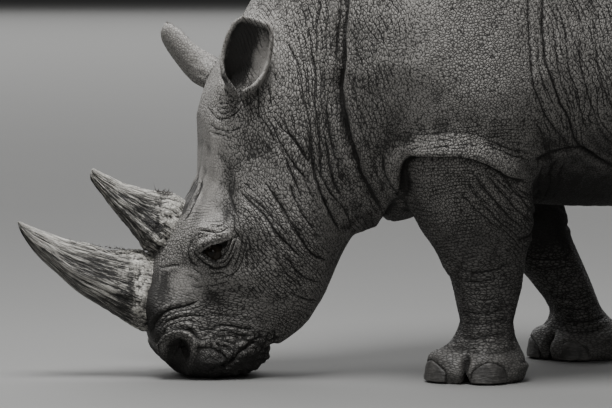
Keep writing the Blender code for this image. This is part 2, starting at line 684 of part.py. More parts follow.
def main():
    clear_scene()
    parts, cutters = collection("white_rhinoceros"), collection("cutters")
    hide = material("hide", HIDE, 0.8)
    keratin = material("horn", HORN, 0.6)
    nail_horn = material("nail", NAIL, 0.55)
    wet = material("eye", EYE, 0.08)

    body = blended_body(parts, hide)
    nails, beds = [], []
    for foot in feet():
        for toe_name, toe in TOES.items():
            name = f"nail_{foot[0]}_{toe_name}"
            nails.append(nail(name, foot, toe, 0.0, parts, nail_horn))
            beds.append(nail("bed_" + name, foot, toe, NAIL_GAP, cutters, nail_horn))
    eyes = [eye("eye_left", body, -1, parts, wet), eye("eye_right", body, 1, parts, wet)]
    simplified(body)

    legs = []
    for name, shape in LEG_DOORS.items():
        side = -1 if name.endswith("left") else 1
        block = door("block_" + name, *shape, side, 0.0, cutters, hide)
        limb = copy_of(body, "leg_" + name, parts)
        boolean(limb, block, "INTERSECT")
        legs.append(limb)
        grown = door("grown_" + name, *shape, side, CUT, cutters, hide)
        boolean(body, grown, "DIFFERENCE")
    feet_made = []
    for limb in legs:
        name = limb.name.replace("leg_", "foot_")
        sole = cut_plane(limb, (0, 0, FOOT_TOP), (0, 0, 1), name, parts)
        for bed in beds:
            if name.replace("foot_", "") in bed.name:
                boolean(sole, bed, "DIFFERENCE")
        keep_largest(sole)
        feet_made.append(sole)
    neck = cut_plane(body, *SHOULDER_CUT, "neck", parts)
    head = cut_plane(neck, *HEAD_CUT, "head", parts)
    body.name = "trunk"

    for made in eyes:
        socket = copy_of(made, "socket_" + made.name, cutters)
        socket.data.transform(Matrix.Translation(-centre_of(made)))
        socket.data.transform(Matrix.Scale(1 + GAP / EYE_RADIUS, 4))
        socket.data.transform(Matrix.Translation(centre_of(made)))
        boolean(head, socket, "DIFFERENCE")
    triangulated(head)
    triangulated(body)
    shell = grown_copy(head, "head_grown", cutters)
    horns = [
        horn("horn_front", FRONT_HORN, parts, keratin),
        horn("horn_rear", REAR_HORN, parts, keratin),
    ]
    ears = [ear(*row, parts, hide) for row in EARS]
    for made in horns + ears:
        boolean(made, shell, "DIFFERENCE")
        keep_largest(made)
    tail_made = tail(parts, hide)
    boolean(tail_made, grown_copy(body, "trunk_grown", cutters), "DIFFERENCE")
    keep_largest(tail_made)

    made = [body, neck, head, tail_made, *legs, *feet_made, *eyes, *horns, *ears, *nails]
    on_the_origin(made)
    for cutter in cutters.objects:
        cutter.hide_render = True
        cutter.display_type = "WIRE"
    for obj in made:
        obj.data.shade_smooth()
        obj.data.set_sharp_from_angle(angle=math.radians(40))
        print(obj.name, sum(len(p.vertices) - 2 for p in obj.data.polygons))
    print("triangles", sum(len(p.vertices) - 2 for obj in made for p in obj.data.polygons))


main()
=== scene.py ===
"""A life-size grazing white rhinoceros: hide, horns, eyes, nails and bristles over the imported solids.

Sizes are in metres and +Z is up. The animal faces -X and its left side faces -Y. Places on the
body are given as x and z from under its left fore foot, and the same folds lie on both sides."""

import math

import bmesh
import bpy
import numpy as np
from bpy.props import FloatProperty, FloatVectorProperty, IntProperty, PointerProperty
from bpy.types import Operator, Panel, PropertyGroup
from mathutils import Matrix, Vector
from mathutils.bvhtree import BVHTree


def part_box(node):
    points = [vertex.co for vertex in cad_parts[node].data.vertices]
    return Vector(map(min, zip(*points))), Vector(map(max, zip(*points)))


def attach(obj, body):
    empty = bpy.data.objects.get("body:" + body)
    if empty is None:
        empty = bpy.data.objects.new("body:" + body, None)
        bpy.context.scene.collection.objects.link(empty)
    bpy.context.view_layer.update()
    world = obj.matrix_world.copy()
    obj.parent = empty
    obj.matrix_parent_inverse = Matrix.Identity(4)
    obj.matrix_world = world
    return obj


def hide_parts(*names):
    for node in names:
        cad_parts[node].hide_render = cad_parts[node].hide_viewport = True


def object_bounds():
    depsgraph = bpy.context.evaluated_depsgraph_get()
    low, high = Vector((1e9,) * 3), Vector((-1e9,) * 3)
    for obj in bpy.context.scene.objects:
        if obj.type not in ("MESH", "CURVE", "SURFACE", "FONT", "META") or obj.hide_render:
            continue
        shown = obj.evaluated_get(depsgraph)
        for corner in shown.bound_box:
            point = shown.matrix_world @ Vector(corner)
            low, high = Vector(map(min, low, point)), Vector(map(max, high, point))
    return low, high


bl_info = {
    "name": "White Rhinoceros",
    "version": (1, 0, 0),
    "blender": (4, 5, 0),
    "location": "View3D > Sidebar > Rhinoceros",
    "description": "Builds the hide, horns, eyes, nails and bristles of a grazing white rhinoceros",
    "category": "Object",
}

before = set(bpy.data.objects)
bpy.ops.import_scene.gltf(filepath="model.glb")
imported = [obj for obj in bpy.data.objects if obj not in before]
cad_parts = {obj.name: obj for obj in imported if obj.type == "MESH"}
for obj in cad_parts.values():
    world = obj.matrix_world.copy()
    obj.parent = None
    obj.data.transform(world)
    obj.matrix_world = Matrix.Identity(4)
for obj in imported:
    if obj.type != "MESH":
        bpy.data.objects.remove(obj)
CAD_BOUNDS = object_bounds()

BODY = "root"
FLESH = (
    "trunk", "neck", "head", "tail", "ear_left", "ear_right",
    "leg_fore_left", "leg_fore_right", "leg_hind_left", "leg_hind_right",
    "foot_fore_left", "foot_fore_right", "foot_hind_left", "foot_hind_right",
)
EYES = ("eye_left", "eye_right")
HORN_REACH = 1.18  # from over the left fore foot forward to the tip of the front horn
FOOT_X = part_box("horn_front")[0][0] + HORN_REACH  # x of the left fore foot in the frame
RIGHT_FORE_STEP = 0.40  # how far the right fore foot stands behind the left one
RIGHT_HIND_STEP = 0.20
FORE_PIVOT, HIND_PIVOT, ANKLE = 0.95, 1.38, 0.08  # heights between which the right legs lean
LEAN_CURVE = 1.45  # above 1, a leaning leg stays under the body for longer before it slants

# ---------------------------------------------------------------- numbers on meshes


def read(mesh, field="co"):
    values = np.empty(len(mesh.vertices) * 3)
    mesh.vertices.foreach_get(field, values)
    return values.reshape(-1, 3)


def write(mesh, points):
    mesh.vertices.foreach_set("co", np.ascontiguousarray(points).ravel())
    mesh.update()


def edges_of(mesh):
    pairs = np.empty(len(mesh.edges) * 2, dtype=np.int64)
    mesh.edges.foreach_get("vertices", pairs)
    return pairs.reshape(-1, 2)


def neighbour_mean(values, edges):
    """The mean of each vertex's neighbours, for one number or several per vertex."""
    count = len(values)
    first, second = edges[:, 0], edges[:, 1]
    degree = np.bincount(first, minlength=count) + np.bincount(second, minlength=count)
    columns = values.reshape(count, -1)
    total = np.empty_like(columns, dtype=float)
    for i in range(columns.shape[1]):
        total[:, i] = np.bincount(first, weights=columns[second, i], minlength=count)
        total[:, i] += np.bincount(second, weights=columns[first, i], minlength=count)
    return (total / np.maximum(degree, 1)[:, None]).reshape(values.shape)


def smoothed(values, edges, passes, amount=1.0):
    """amount is how far each pass goes to the neighbours' mean, as one number or one per vertex."""
    share = np.asarray(amount)
    if values.ndim > 1 and share.ndim == 1:
        share = share[:, None]
    for _ in range(passes):
        values = values + share * (neighbour_mean(values, edges) - values)
    return values


def ramp(value, low, high):
    """0 below low, 1 above high, and a smooth rise between; high may be the lower one."""
    t = np.clip((value - low) / (high - low), 0, 1)
    return t * t * (3 - 2 * t)


def bell(value, width):
    return np.exp(-((value / width) ** 2))


CELL_PRIMES = np.array([73856093, 19349663, 83492791])  # mix a cell's three numbers into one


def noise(points, size, seed):
    """Smooth noise from -1 to 1 whose features are about `size` metres across."""
    at = points / size + 31.7 * seed
    cell = np.floor(at).astype(np.int64)
    part = at - cell
    part = part * part * (3 - 2 * part)
    total = np.zeros(len(points))
    for corner in range(8):
        step = np.array([corner & 1, corner >> 1 & 1, corner >> 2 & 1])
        key = ((cell + step) * CELL_PRIMES).sum(axis=1) + seed * 7919
        key = (key ^ (key >> 13)) * 1274126177 & 0xFFFFFFFF
        key = (key ^ (key >> 16)) * 2246822519 & 0xFFFFFFFF
        share = np.where(step, part, 1 - part).prod(axis=1)
        total += share * (key / 0x7FFFFFFF - 1)
    return total


def between(a, b, c, d, f):
    """Catmull-Rom from b to c, at the share f of the way, with a before them and d after."""
    return 0.5 * (2 * b + (c - a) * f + (2 * a - 5 * b + 4 * c - d) * f**2 + (3 * b - a - 3 * c + d) * f**3)


def spline(values, t):
    """A curve through a list of numbers or vectors, t from 0 to len(values) - 1."""
    i = min(int(t), len(values) - 2)
    before, after = values[max(i - 1, 0)], values[min(i + 2, len(values) - 1)]
    return between(before, values[i], values[i + 1], after, t - i)


def curve_through(path, steps=4):
    corners = [np.array(p) for p in path]
    return np.array([spline(corners, n / steps) for n in range((len(path) - 1) * steps + 1)])


def unit(vector):
    return np.array(vector) / np.linalg.norm(vector)


def beside(points, line):
    """Distance from a line in the plane, the side of it (left is +), and how far along it (0 to 1)."""
    lengths = np.linalg.norm(np.diff(line, axis=0), axis=1)
    starts = np.concatenate([[0], np.cumsum(lengths)])
    best = np.full(len(points), np.inf)
    side, along = np.zeros(len(points)), np.zeros(len(points))
    for i, length in enumerate(lengths):
        way = (line[i + 1] - line[i]) / length
        offset = points - line[i]
        t = np.clip(offset @ way, 0, length)
        gap = offset - t[:, None] * way
        distance = np.hypot(gap[:, 0], gap[:, 1])
        closer = distance < best
        best = np.where(closer, distance, best)
        side = np.where(closer, np.sign(way[0] * offset[:, 1] - way[1] * offset[:, 0]), side)
        along = np.where(closer, starts[i] + t, along)
    return best, side, along / starts[-1]


def new_object(name, bm):
    mesh = bpy.data.meshes.new(name)
    bm.to_mesh(mesh)
    bm.free()
    obj = bpy.data.objects.new(name, mesh)
    bpy.context.scene.collection.objects.link(obj)
    return obj


def added(operator, **settings):
    """The object that an operator adds, as the only selected one."""
    bpy.ops.object.select_all(action="DESELECT")
    operator(**settings)
    return bpy.context.active_object


def finish_with(obj, kind, **settings):
    """Adds a modifier and applies it."""
    bpy.ops.object.select_all(action="DESELECT")
    obj.select_set(True)
    bpy.context.view_layer.objects.active = obj
    modifier = obj.modifiers.new(kind, kind)
    for name, value in settings.items():
        setattr(modifier, name, value)
    bpy.ops.object.modifier_apply(modifier=modifier.name)


# ---------------------------------------------------------------- the hide's form
HIDE_TRIANGLES = 194000
HEAD_MIDDLE = np.array([-0.62, 0.0, 0.42])  # the mesh is finest round here
FINE, COARSE, FINE_REACH = 2.7, 0.72, 0.75  # how much finer at the head, coarser far off, and how far
GRAIN = 0.0125  # edge of the mesh's squares, before they are made finer or coarser
OVERLAP = 0.0012  # how far the solids are grown so that they meet
RAKE_BACK, RAKE_DOWN = 0.1763, 0.0663  # slope of the lines along which folds are laid on the sides


class Hide:
    """The points of the hide while it is worked, measured from under the left fore foot."""

    def __init__(self, obj):
        self.obj = obj
        self.mesh = obj.data
        self.edges = edges_of(self.mesh)
        self.points = read(self.mesh) - (FOOT_X, 0, 0)
        count = len(self.points)
        self.groove_gap, self.groove_share = np.ones((count, TRACKS)), np.zeros((count, TRACKS))
        self.line_phase, self.line_share, self.pit = np.zeros(count), np.zeros(count), np.zeros(count)
        self.refresh()

    def refresh(self):
        """Stores the points, and reads the normals that the next step works along."""
        self.points[:, 2] = np.maximum(self.points[:, 2], 0)
        write(self.mesh, self.points + (FOOT_X, 0, 0))
        self.normals = read(self.mesh, "normal")

    def settled(self):
        """The points with the right legs drawn forward to where the left ones stand."""
        x, y, z = self.points.T
        fore = RIGHT_FORE_STEP * np.clip((FORE_PIVOT - z) / (FORE_PIVOT - ANKLE), 0, 1) ** LEAN_CURVE
        fore = fore * ramp(x, -0.30, -0.05)
        hind = RIGHT_HIND_STEP * np.clip((HIND_PIVOT - z) / (HIND_PIVOT - ANKLE), 0, 1) ** LEAN_CURVE
        return np.stack([x - np.where(y > 0, np.where(x < 1.0, fore, hind), 0), y, z], axis=1)

    def side_view(self, plane_y, stance=False):
        """x and z of every point, slid along the raked lines to an upright plane at plane_y."""
        x, y, z = (self.settled() if stance else self.points).T
        beyond = np.abs(y) + plane_y
        return np.stack([x + RAKE_BACK * beyond, z - RAKE_DOWN * beyond], axis=1)

    def raise_by(self, height):
        self.points += self.normals * np.asarray(height)[:, None]
        self.refresh()

    def keep_marks(self):
        """Stores where the folds and lines run, which the materials draw as painted shade finer than the mesh
        is, and where shade is painted into pits and openings.
        """
        for name in ("groove_gap", "groove_share", "line_phase", "line_share", "pit"):
            store(self.mesh, name, getattr(self, name))


def zoomed(points, middle, from_reach, to_reach):
    """Moves points to or from the middle, so that a distance in one list becomes that in the other."""
    offset = points - middle
    reach = np.linalg.norm(offset, axis=1)
    share = np.interp(reach, from_reach, to_reach) / np.maximum(reach, 1e-9)
    return middle + offset * share[:, None]


def joined_flesh():
    """One closed mesh round all the nodes of flesh and the eyeballs, finest at the head."""
    bm = bmesh.new()
    for name in FLESH + EYES:
        part = bmesh.new()
        part.from_mesh(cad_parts[name].data)
        bmesh.ops.remove_doubles(part, verts=part.verts, dist=1e-5)
        part.normal_update()
        for vert in part.verts:
            vert.co += vert.normal * OVERLAP
        grown = bpy.data.meshes.new("grown")
        part.to_mesh(grown)
        part.free()
        bm.from_mesh(grown)
        bpy.data.meshes.remove(grown)
    obj = new_object("hide", bm)
    middle = HEAD_MIDDLE + (FOOT_X, 0, 0)
    near = np.linspace(0, 5, 1001)
    stretch = COARSE + (FINE - COARSE) / (1 + (near / FINE_REACH) ** 2)
    far = np.concatenate([[0], np.cumsum((stretch[1:] + stretch[:-1]) / 2) * (near[1] - near[0])])
    write(obj.data, zoomed(read(obj.data), middle, near, far))
    finish_with(obj, "REMESH", mode="VOXEL", voxel_size=GRAIN)
    write(obj.data, zoomed(read(obj.data), middle, far, near))
    return obj


def split_near(obj, middle, reach):
    """Splits in four the faces within reach of a place on either side of the head."""
    bm = bmesh.new()
    bm.from_mesh(obj.data)
    points = read(obj.data) - (FOOT_X, 0, 0)
    away = np.stack([points[:, 0], np.abs(points[:, 1]), points[:, 2]], axis=1) - middle
    chosen = np.linalg.norm(away, axis=1) < reach
    bm.verts.ensure_lookup_table()
    edges = [e for e in bm.edges if chosen[e.verts[0].index] and chosen[e.verts[1].index]]
    bmesh.ops.subdivide_edges(bm, edges=edges, cuts=1, use_grid_fill=True)
    bm.to_mesh(obj.data)
    bm.free()


def settle(hide):
    """Rounds the solids' facets away: most on the trunk, least on the face, the ears and the feet."""
    x, _, z = hide.points.T
    to_head = np.linalg.norm(hide.points - HEAD_MIDDLE, axis=1)
    trunk = ramp(to_head, 0.35, 0.75) * ramp(z, 0.16, 0.45)
    face = 1 - ramp(to_head, 0.30, 0.50)
    ear = near_ear(hide.points)
    tail = ramp(x, 2.10, 2.17) * ramp(z, 1.32, 1.22)
    for passes, share in ((14, 0.9), (60, trunk * (1 - ear) * (1 - tail)), (10, face)):
        amount = 0.6 * share * (1 - 0.55 * ear)
        for _ in range(passes):
            hide.points = smoothed(hide.points, hide.edges, 1, amount)
            hide.points = smoothed(hide.points, hide.edges, 1, -1.03 * amount)
    hide.refresh()


# base and tip of each ear, and the way its opening faces
EARS = (((-0.624, -0.180, 0.768), (-0.588, -0.225, 0.938)), ((-0.648, 0.170, 0.792), (-0.752, 0.245, 0.912)))
EAR_FACING = ((-0.24, -0.95, 0.12), (0.53, 0.29, 0.76))


def ear_frame(ear):
    """The ear's base, the way to its tip, the way it faces and the way across it."""
    base, tip = (Vector(p) for p in EARS[ear])
    axis = tip - base
    facing = Vector(EAR_FACING[ear])
    facing = (facing - axis * facing.dot(axis) / axis.length_squared).normalized()
    across = axis.normalized().cross(facing)
    return (np.array(v) for v in (base, axis, facing, -across if across.x < 0 else across))


def near_ear(points):
    """1 on the ears and 0 off them."""
    share = np.zeros(len(points))
    for base, tip in EARS:
        base, way = np.array(base), np.array(tip) - np.array(base)
        along = np.clip((points - base) @ way / (way @ way), 0.15, 1)
        gap = np.linalg.norm(points - base - along[:, None] * way, axis=1)
        share = np.maximum(share, ramp(gap, 0.105, 0.080))
    return share


def shade_ears(hide):
    """Paints shade into the deep front half of each ear's cup."""
    for ear in range(len(EARS)):
        base, axis, facing, across = ear_frame(ear)
        offset = hide.points - base
        along = offset @ axis / (axis @ axis)
        gap = np.linalg.norm(offset - np.clip(along, 0, 1)[:, None] * axis, axis=1)
        inside = ramp(hide.normals @ facing, -0.15, 0.15) * ramp(gap, 0.085, 0.070)
        sideways = offset @ across
        inside *= ramp(along, -0.05, 0.08) * ramp(along, 0.92, 0.74)
        inside *= ramp(sideways, 0.026, 0.002) * ramp(sideways, -0.052, -0.040)
        hide.pit = np.maximum(hide.pit, 0.92 * inside)


# ---------------------------------------------------------------- eyes and nostrils
EYE_X, EYE_Z, EYE_Y = -0.679, 0.3545, 0.18  # middle of the opening, on the side of the face
EYE_SLANT = math.radians(23.8)  # how steeply the opening rises towards the neck
EYE_LONG = 0.046  # half the length of the opening
LID_RADIUS, LID_DEPTH = 0.036, 0.025  # the ball of skin round the eyeball, and how deep its middle lies
EYE_PIT = 0.020  # how far the skin lies behind the surface in the eye's opening
# Edges of the opening, as places along it and above its middle line
UPPER_LID = ((-0.046, 0.0), (-0.030, 0.006), (-0.010, 0.009), (0.015, 0.0035), (0.035, 0.001), (0.046, 0.0))
LOWER_LID = ((-0.046, 0.0), (-0.019, -0.034), (0.002, -0.032), (0.020, -0.025), (0.037, -0.008), (0.046, 0.0))
# The roll inside the lower lid, as x and z along it
LID_ROLL = ((-0.722, 0.332), (-0.708, 0.326), (-0.695, 0.319), (-0.683, 0.312))
NOSTRIL = (-0.784, 0.088)  # middle of the opening, as x and z


def carve_eyes(hide):
    """Round lids over the ball, a heavy upper lid, an almond opening, and a roll inside the lower lid."""
    flat = hide.side_view(FACE) - (EYE_X, EYE_Z)
    u = flat @ (math.cos(EYE_SLANT), math.sin(EYE_SLANT))
    v = flat @ (-math.sin(EYE_SLANT), math.cos(EYE_SLANT))
    on_side = ramp(np.abs(hide.points[:, 1]), 0.06, 0.10)
    reach = np.hypot(u, v + 0.008)
    ball = np.sqrt(np.maximum(LID_RADIUS**2 - reach**2, 0)) - LID_DEPTH
    swelling = np.log1p(np.exp(ball / 0.003)) * 0.003
    top, bottom = (np.interp(u, *np.array(edge).T) for edge in (UPPER_LID, LOWER_LID))
    lid = 0.015 * bell(v - 0.023 + 0.004 * (u / 0.03) ** 2, 0.013) * ramp(np.abs(u + 0.004), 0.056, 0.026)
    pouch = 0.004 * bell(v + 0.046 - 0.012 * (u / 0.035) ** 2, 0.008) * ramp(np.abs(u), 0.050, 0.025)
    open_ = ramp(v, bottom - 0.0012, bottom + 0.0012) * ramp(v, top + 0.0012, top - 0.0012)
    open_ *= ramp(np.abs(u), EYE_LONG, EYE_LONG * 0.92)
    rims = 0.002 * bell(v - top - 0.004, 0.003) + 0.003 * bell(v - bottom + 0.004, 0.0035)
    corners = -0.004 * bell(v, 0.003) * bell(np.abs(u) - EYE_LONG - 0.004, 0.008)
    inner = open_ * ramp(v, bottom + 0.017, bottom + 0.009) * ramp(u, -0.010, 0.006)
    gap, _, along = beside(flat, np.array(LID_ROLL) - (EYE_X, EYE_Z))
    roll = bell(gap, 0.0062) * ramp(along, -0.12, 0.12) * ramp(along, 1.12, 0.88)
    height = (swelling + lid + pouch + rims * ramp(np.abs(u), 0.052, 0.040) + corners) * (1 - open_)
    height -= EYE_PIT * open_ * (1 - roll) * (1 - 0.65 * inner) * (0.30 + 0.70 * ramp(v, -0.020, -0.009))
    height += roll * 0.013
    # Painted shade on the skin inside the eye's opening, less on the roll and the inner corner.
    hide.pit = np.maximum(hide.pit, open_ * (1 - np.maximum(0.95 * roll, 0.72 * inner)) * on_side)
    hide.raise_by(height * on_side * ramp(reach, 0.11, 0.07))


def carve_nostrils(hide):
    """Deep arched openings under a broad wing; each runs out in a gutter towards the lip."""
    flat = hide.side_view(FACE) - NOSTRIL
    on_side = ramp(np.abs(hide.points[:, 1]), 0.035, 0.06)
    u, v = flat.T
    below = np.maximum(-v - 0.016, 0) / 0.050
    reach = np.hypot(u / 0.034, np.where(v > 0, v / 0.032, below))
    wing = ramp(v, -0.030, 0.010)
    rim = 0.015 * wing * bell(reach - 1.34, 0.26) + 0.004 * (1 - wing) * bell(reach - 1.3, 0.2)
    deep = ramp(v, -0.040, -0.004)
    inside = ramp(reach, 1.05, 0.70)
    # Painted shade inside the nostril's opening.
    hide.pit = np.maximum(hide.pit, ramp(reach, 1.0, 0.84) * (0.45 + 0.55 * deep) * on_side)
    hide.raise_by((rim - (0.012 + 0.032 * deep) * inside) * on_side)


FEET = (  # x, y, size and turn-out of each
    (0.0, -0.235, 1.0, 17),
    (RIGHT_FORE_STEP, 0.235, 1.0, 6),
    (1.72, -0.25, 0.9, 10),
    (1.72 + RIGHT_HIND_STEP, 0.25, 0.9, 10),
)
CLEFT_ANGLES = (-35, 44)  # degrees from the foot's own front


def carve_toes(hide):
    """Clefts between the three toes of each foot, a fold over them, and a soft heel."""
    height = np.zeros(len(hide.points))
    for foot_x, foot_y, size, turn_out in FEET:
        offset = hide.points - (foot_x, foot_y, 0)
        out = np.hypot(offset[:, 0], offset[:, 1])
        outward = offset[:, 1] * math.copysign(1, foot_y)
        angle = np.degrees(np.arctan2(outward, -offset[:, 0])) - turn_out
        low = ramp(offset[:, 2], 0.085 * size, 0.055 * size) * ramp(out, 0.20, 0.17)
        for middle in CLEFT_ANGLES:
            across = np.sin(np.radians(np.clip(angle - middle, -90, 90))) * out
            cleft = low * bell(across, 0.0085) * ramp(out, 0.05, 0.08)
            height -= 0.030 * size * cleft
            # Painted shade in the clefts between the toes.
            hide.pit = np.maximum(hide.pit, 0.9 * ramp(cleft, 0.45, 0.85))
        ring = ramp(out, 0.20, 0.17) * ramp(np.abs(angle), 140, 100)
        waved = 0.088 * size + 0.006 * np.cos(np.radians(angle * 2.4))
        height -= 0.004 * ring * bell(offset[:, 2] - waved, 0.007)
        heel = ramp(out, 0.20, 0.17) * ramp(np.abs(angle), 100, 130)
        height -= 0.004 * heel * bell(offset[:, 2] - 0.052 * size, 0.006)
    hide.raise_by(height)


# name, centre on the left side, reach, rise (a hollow below 0)
FORMS = (
    ("brow_ridge", (-0.700, -0.165, 0.395), (0.040, 0.05, 0.020), 0.012),
    ("brow_back", (-0.645, -0.185, 0.405), (0.022, 0.05, 0.030), 0.008),
    ("socket", (-0.690, -0.170, 0.300), (0.050, 0.06, 0.026), -0.008),
    ("tear_pit", (-0.738, -0.160, 0.300), (0.022, 0.05, 0.024), -0.008),
    ("behind_eye", (-0.600, -0.190, 0.345), (0.025, 0.06, 0.050), -0.006),
    ("cheek_bone", (-0.610, -0.190, 0.275), (0.070, 0.06, 0.026), 0.007),
    ("cheek", (-0.520, -0.190, 0.300), (0.060, 0.08, 0.060), 0.008),
    ("temple", (-0.645, -0.190, 0.500), (0.022, 0.08, 0.090), -0.014),
    ("forehead_edge", (-0.690, -0.140, 0.560), (0.022, 0.04, 0.120), 0.008),
    ("horn_saddle", (-0.775, -0.110, 0.300), (0.030, 0.05, 0.035), -0.006),
    ("face_side", (-0.700, -0.160, 0.215), (0.050, 0.06, 0.030), -0.007),
    ("nose_boss", (-0.815, -0.090, 0.190), (0.030, 0.06, 0.035), 0.008),
    ("lip_upper", (-0.690, -0.130, 0.050), (0.045, 0.05, 0.020), 0.010),
    ("lip_corner", (-0.600, -0.120, 0.075), (0.035, 0.05, 0.022), 0.012),
    ("lip_lower", (-0.570, -0.100, 0.028), (0.030, 0.05, 0.014), 0.008),
    ("chin_hollow", (-0.505, -0.100, 0.090), (0.030, 0.07, 0.020), -0.008),
    ("jaw_edge", (-0.400, -0.150, 0.280), (0.040, 0.06, 0.080), 0.008),
    ("throat_lobe", (-0.265, 0.0, 0.380), (0.060, 0.16, 0.050), 0.012),
    ("lip_notch", (-0.508, 0.0, 0.070), (0.014, 0.12, 0.014), -0.018),
    ("lip_end", (-0.540, 0.0, 0.045), (0.026, 0.10, 0.018), 0.009),
    ("brisket_lobe", (-0.215, -0.150, 0.460), (0.034, 0.12, 0.050), 0.018),
    ("lobe_notch", (-0.214, 0.0, 0.425), (0.014, 0.35, 0.050), -0.045),
    ("horn_seat", (-0.845, -0.080, 0.225), (0.026, 0.045, 0.085), 0.030),
    ("chest_middle", (-0.230, 0.0, 0.430), (0.070, 0.05, 0.060), -0.012),
    ("arm_muscle", (-0.120, -0.300, 0.500), (0.070, 0.10, 0.080), 0.010),
    ("elbow", (0.120, -0.280, 0.450), (0.030, 0.10, 0.070), 0.010),
    ("axilla", (0.205, -0.300, 0.490), (0.085, 0.12, 0.060), -0.036),
    ("wrist", (-0.080, -0.250, 0.310), (0.030, 0.10, 0.040), 0.008),
    ("flank_hollow", (1.360, -0.430, 0.800), (0.060, 0.15, 0.160), -0.020),
    ("stifle", (1.440, -0.380, 0.720), (0.060, 0.14, 0.110), 0.022),
    ("thigh_back", (1.990, -0.320, 0.780), (0.050, 0.14, 0.100), 0.012),
    ("hock", (1.880, -0.250, 0.440), (0.030, 0.10, 0.040), 0.010),
    ("hip_point", (1.450, -0.300, 1.540), (0.060, 0.10, 0.060), 0.018),
    ("pin_bone", (2.060, -0.120, 1.380), (0.050, 0.08, 0.060), 0.014),
    ("spine", (1.200, 0.0, 1.600), (0.60, 0.035, 0.100), 0.012),
    ("blade_edge", (0.150, -0.380, 1.250), (0.035, 0.12, 0.220), 0.012),
    ("blade_hollow", (0.250, -0.400, 1.250), (0.045, 0.14, 0.260), -0.014),
    ("shoulder_fill", (-0.195, -0.380, 0.680), (0.045, 0.12, 0.045), 0.012),
    ("shoulder_lobe", (-0.080, -0.380, 0.780), (0.140, 0.14, 0.090), 0.014),
)

FACE, NECK, SHOULDER, FLANK = -0.17, -0.22, -0.30, -0.45  # y of the planes that folds are laid out on


def folds(*rows):
    """A row is depth and half width in tenths of a millimetre, then x and z along the fold in millimetres."""
    return [(row[0] / 10000, row[1] / 10000, [(x / 1000, z / 1000) for x, z in zip(row[2::2], row[3::2])])
            for row in rows]


FACE_FOLDS = folds(
    # over the nostril and across the muzzle
    (130, 50, -862, 118, -857, 136, -846, 154, -828, 174, -807, 187, -786, 192, -766, 199, -745, 207, -724,
     214),
    (70, 36, -849, 128, -836, 146, -820, 164, -802, 177, -776, 184, -750, 191, -729, 196, -716, 206),
    (70, 36, -841, 118, -831, 136, -818, 154, -797, 164, -776, 168, -750, 171, -716, 170, -692, 164),
    (60, 34, -836, 110, -826, 128, -815, 143, -797, 151, -776, 157, -760, 159, -742, 155, -724, 149),
    (140, 46, -832, 60, -837, 85, -838, 108, -826, 127, -804, 137, -786, 140, -765, 139, -746, 131, -730,
     115, -716, 109, -700, 114),
    (90, 40, -734, 139, -719, 136, -698, 136, -679, 146, -658, 147, -637, 143, -616, 137, -593, 135, -572,
     134),
    (60, 34, -719, 113, -703, 125, -687, 133, -671, 141),
    (30, 30, -708, 180, -679, 178, -656, 174, -629, 171, -593, 176),
    (100, 42, -740, 84, -716, 89, -698, 89, -679, 83, -666, 73, -656, 59, -651, 46),
    (60, 36, -692, 107, -672, 117, -651, 119, -630, 114, -611, 103),
    (60, 36, -682, 128, -661, 133, -640, 127, -619, 119, -593, 116, -577, 118),
    (60, 36, -706, 102, -682, 96, -661, 93, -640, 85),
    (70, 36, -714, 53, -700, 63, -682, 57, -669, 44),
    (50, 34, -693, 78, -674, 65, -664, 52),
    # mouth and lips
    (150, 50, -711, 14, -687, 29, -664, 39, -640, 54, -624, 74, -603, 90, -582, 100, -561, 99),
    (60, 36, -619, 119, -601, 105, -577, 108, -561, 118),
    # round the eye
    (70, 30, -736, 391, -726, 396, -710, 396, -695, 393, -674, 392, -655, 398, -645, 403),
    (30, 24, -690, 384, -676, 380, -664, 381, -656, 387),
    (45, 26, -628, 374, -633, 364, -640, 343, -653, 321, -676, 306),
    (120, 36, -744, 342, -733, 326, -715, 312, -697, 300, -676, 297, -650, 309, -632, 333, -623, 358),
    (45, 26, -617, 396, -613, 366, -616, 337, -628, 312, -645, 294),
    (45, 26, -608, 386, -604, 355, -608, 326, -622, 300, -645, 279, -682, 266),
    (50, 28, -702, 280, -690, 283, -672, 283, -655, 288),
    (30, 26, -600, 348, -598, 322, -603, 296),
    (60, 30, -739, 376, -750, 360, -755, 342, -752, 324, -742, 308, -726, 295),
    (30, 26, -731, 370, -734, 352, -731, 334),
    (30, 26, -744, 363, -742, 344, -737, 329),
    (30, 26, -734, 381, -723, 388, -708, 385),
    (25, 24, -729, 373, -716, 380, -697, 380),
    (40, 30, -750, 298, -734, 290, -716, 277),
    (40, 30, -758, 277, -739, 269, -724, 258),
    (40, 30, -711, 253, -692, 250, -671, 255, -645, 262),
    (25, 26, -700, 409, -681, 406, -661, 408),
    (20, 26, -710, 419, -687, 416, -666, 419),
    (50, 40, -640, 442, -634, 416, -632, 395, -621, 374, -608, 353),
    (60, 30, -836, 302, -815, 300, -797, 304, -778, 303),
    (45, 30, -752, 254, -734, 246, -716, 251),
    # skin drawn up to the rear horn
    (60, 34, -731, 562, -741, 523, -757, 487, -773, 456),
    (60, 34, -733, 531, -747, 492, -762, 459, -775, 433),
    (45, 32, -728, 500, -741, 466, -757, 438, -773, 415),
    (50, 32, -741, 562, -754, 518, -767, 487, -778, 467),
    (35, 30, -723, 536, -726, 510, -736, 479, -749, 451, -765, 425),
    # cheek
    (100, 60, -628, 505, -590, 466, -545, 420, -518, 383, -485, 350, -440, 308),
    (60, 45, -602, 492, -570, 462, -540, 434, -512, 402, -478, 368),
    (100, 60, -558, 525, -530, 480, -500, 438, -462, 378, -425, 330, -372, 303),
    (70, 50, -505, 335, -475, 295, -445, 264, -395, 250),
    (45, 40, -535, 335, -510, 300, -485, 270, -462, 250),
    (60, 45, -490, 232, -450, 212, -410, 205),
    (60, 45, -492, 520, -475, 470, -450, 430, -418, 393),
    (50, 40, -457, 552, -442, 505, -422, 470),
    (40, 40, -650, 520, -638, 466, -627, 430, -616, 392),
)
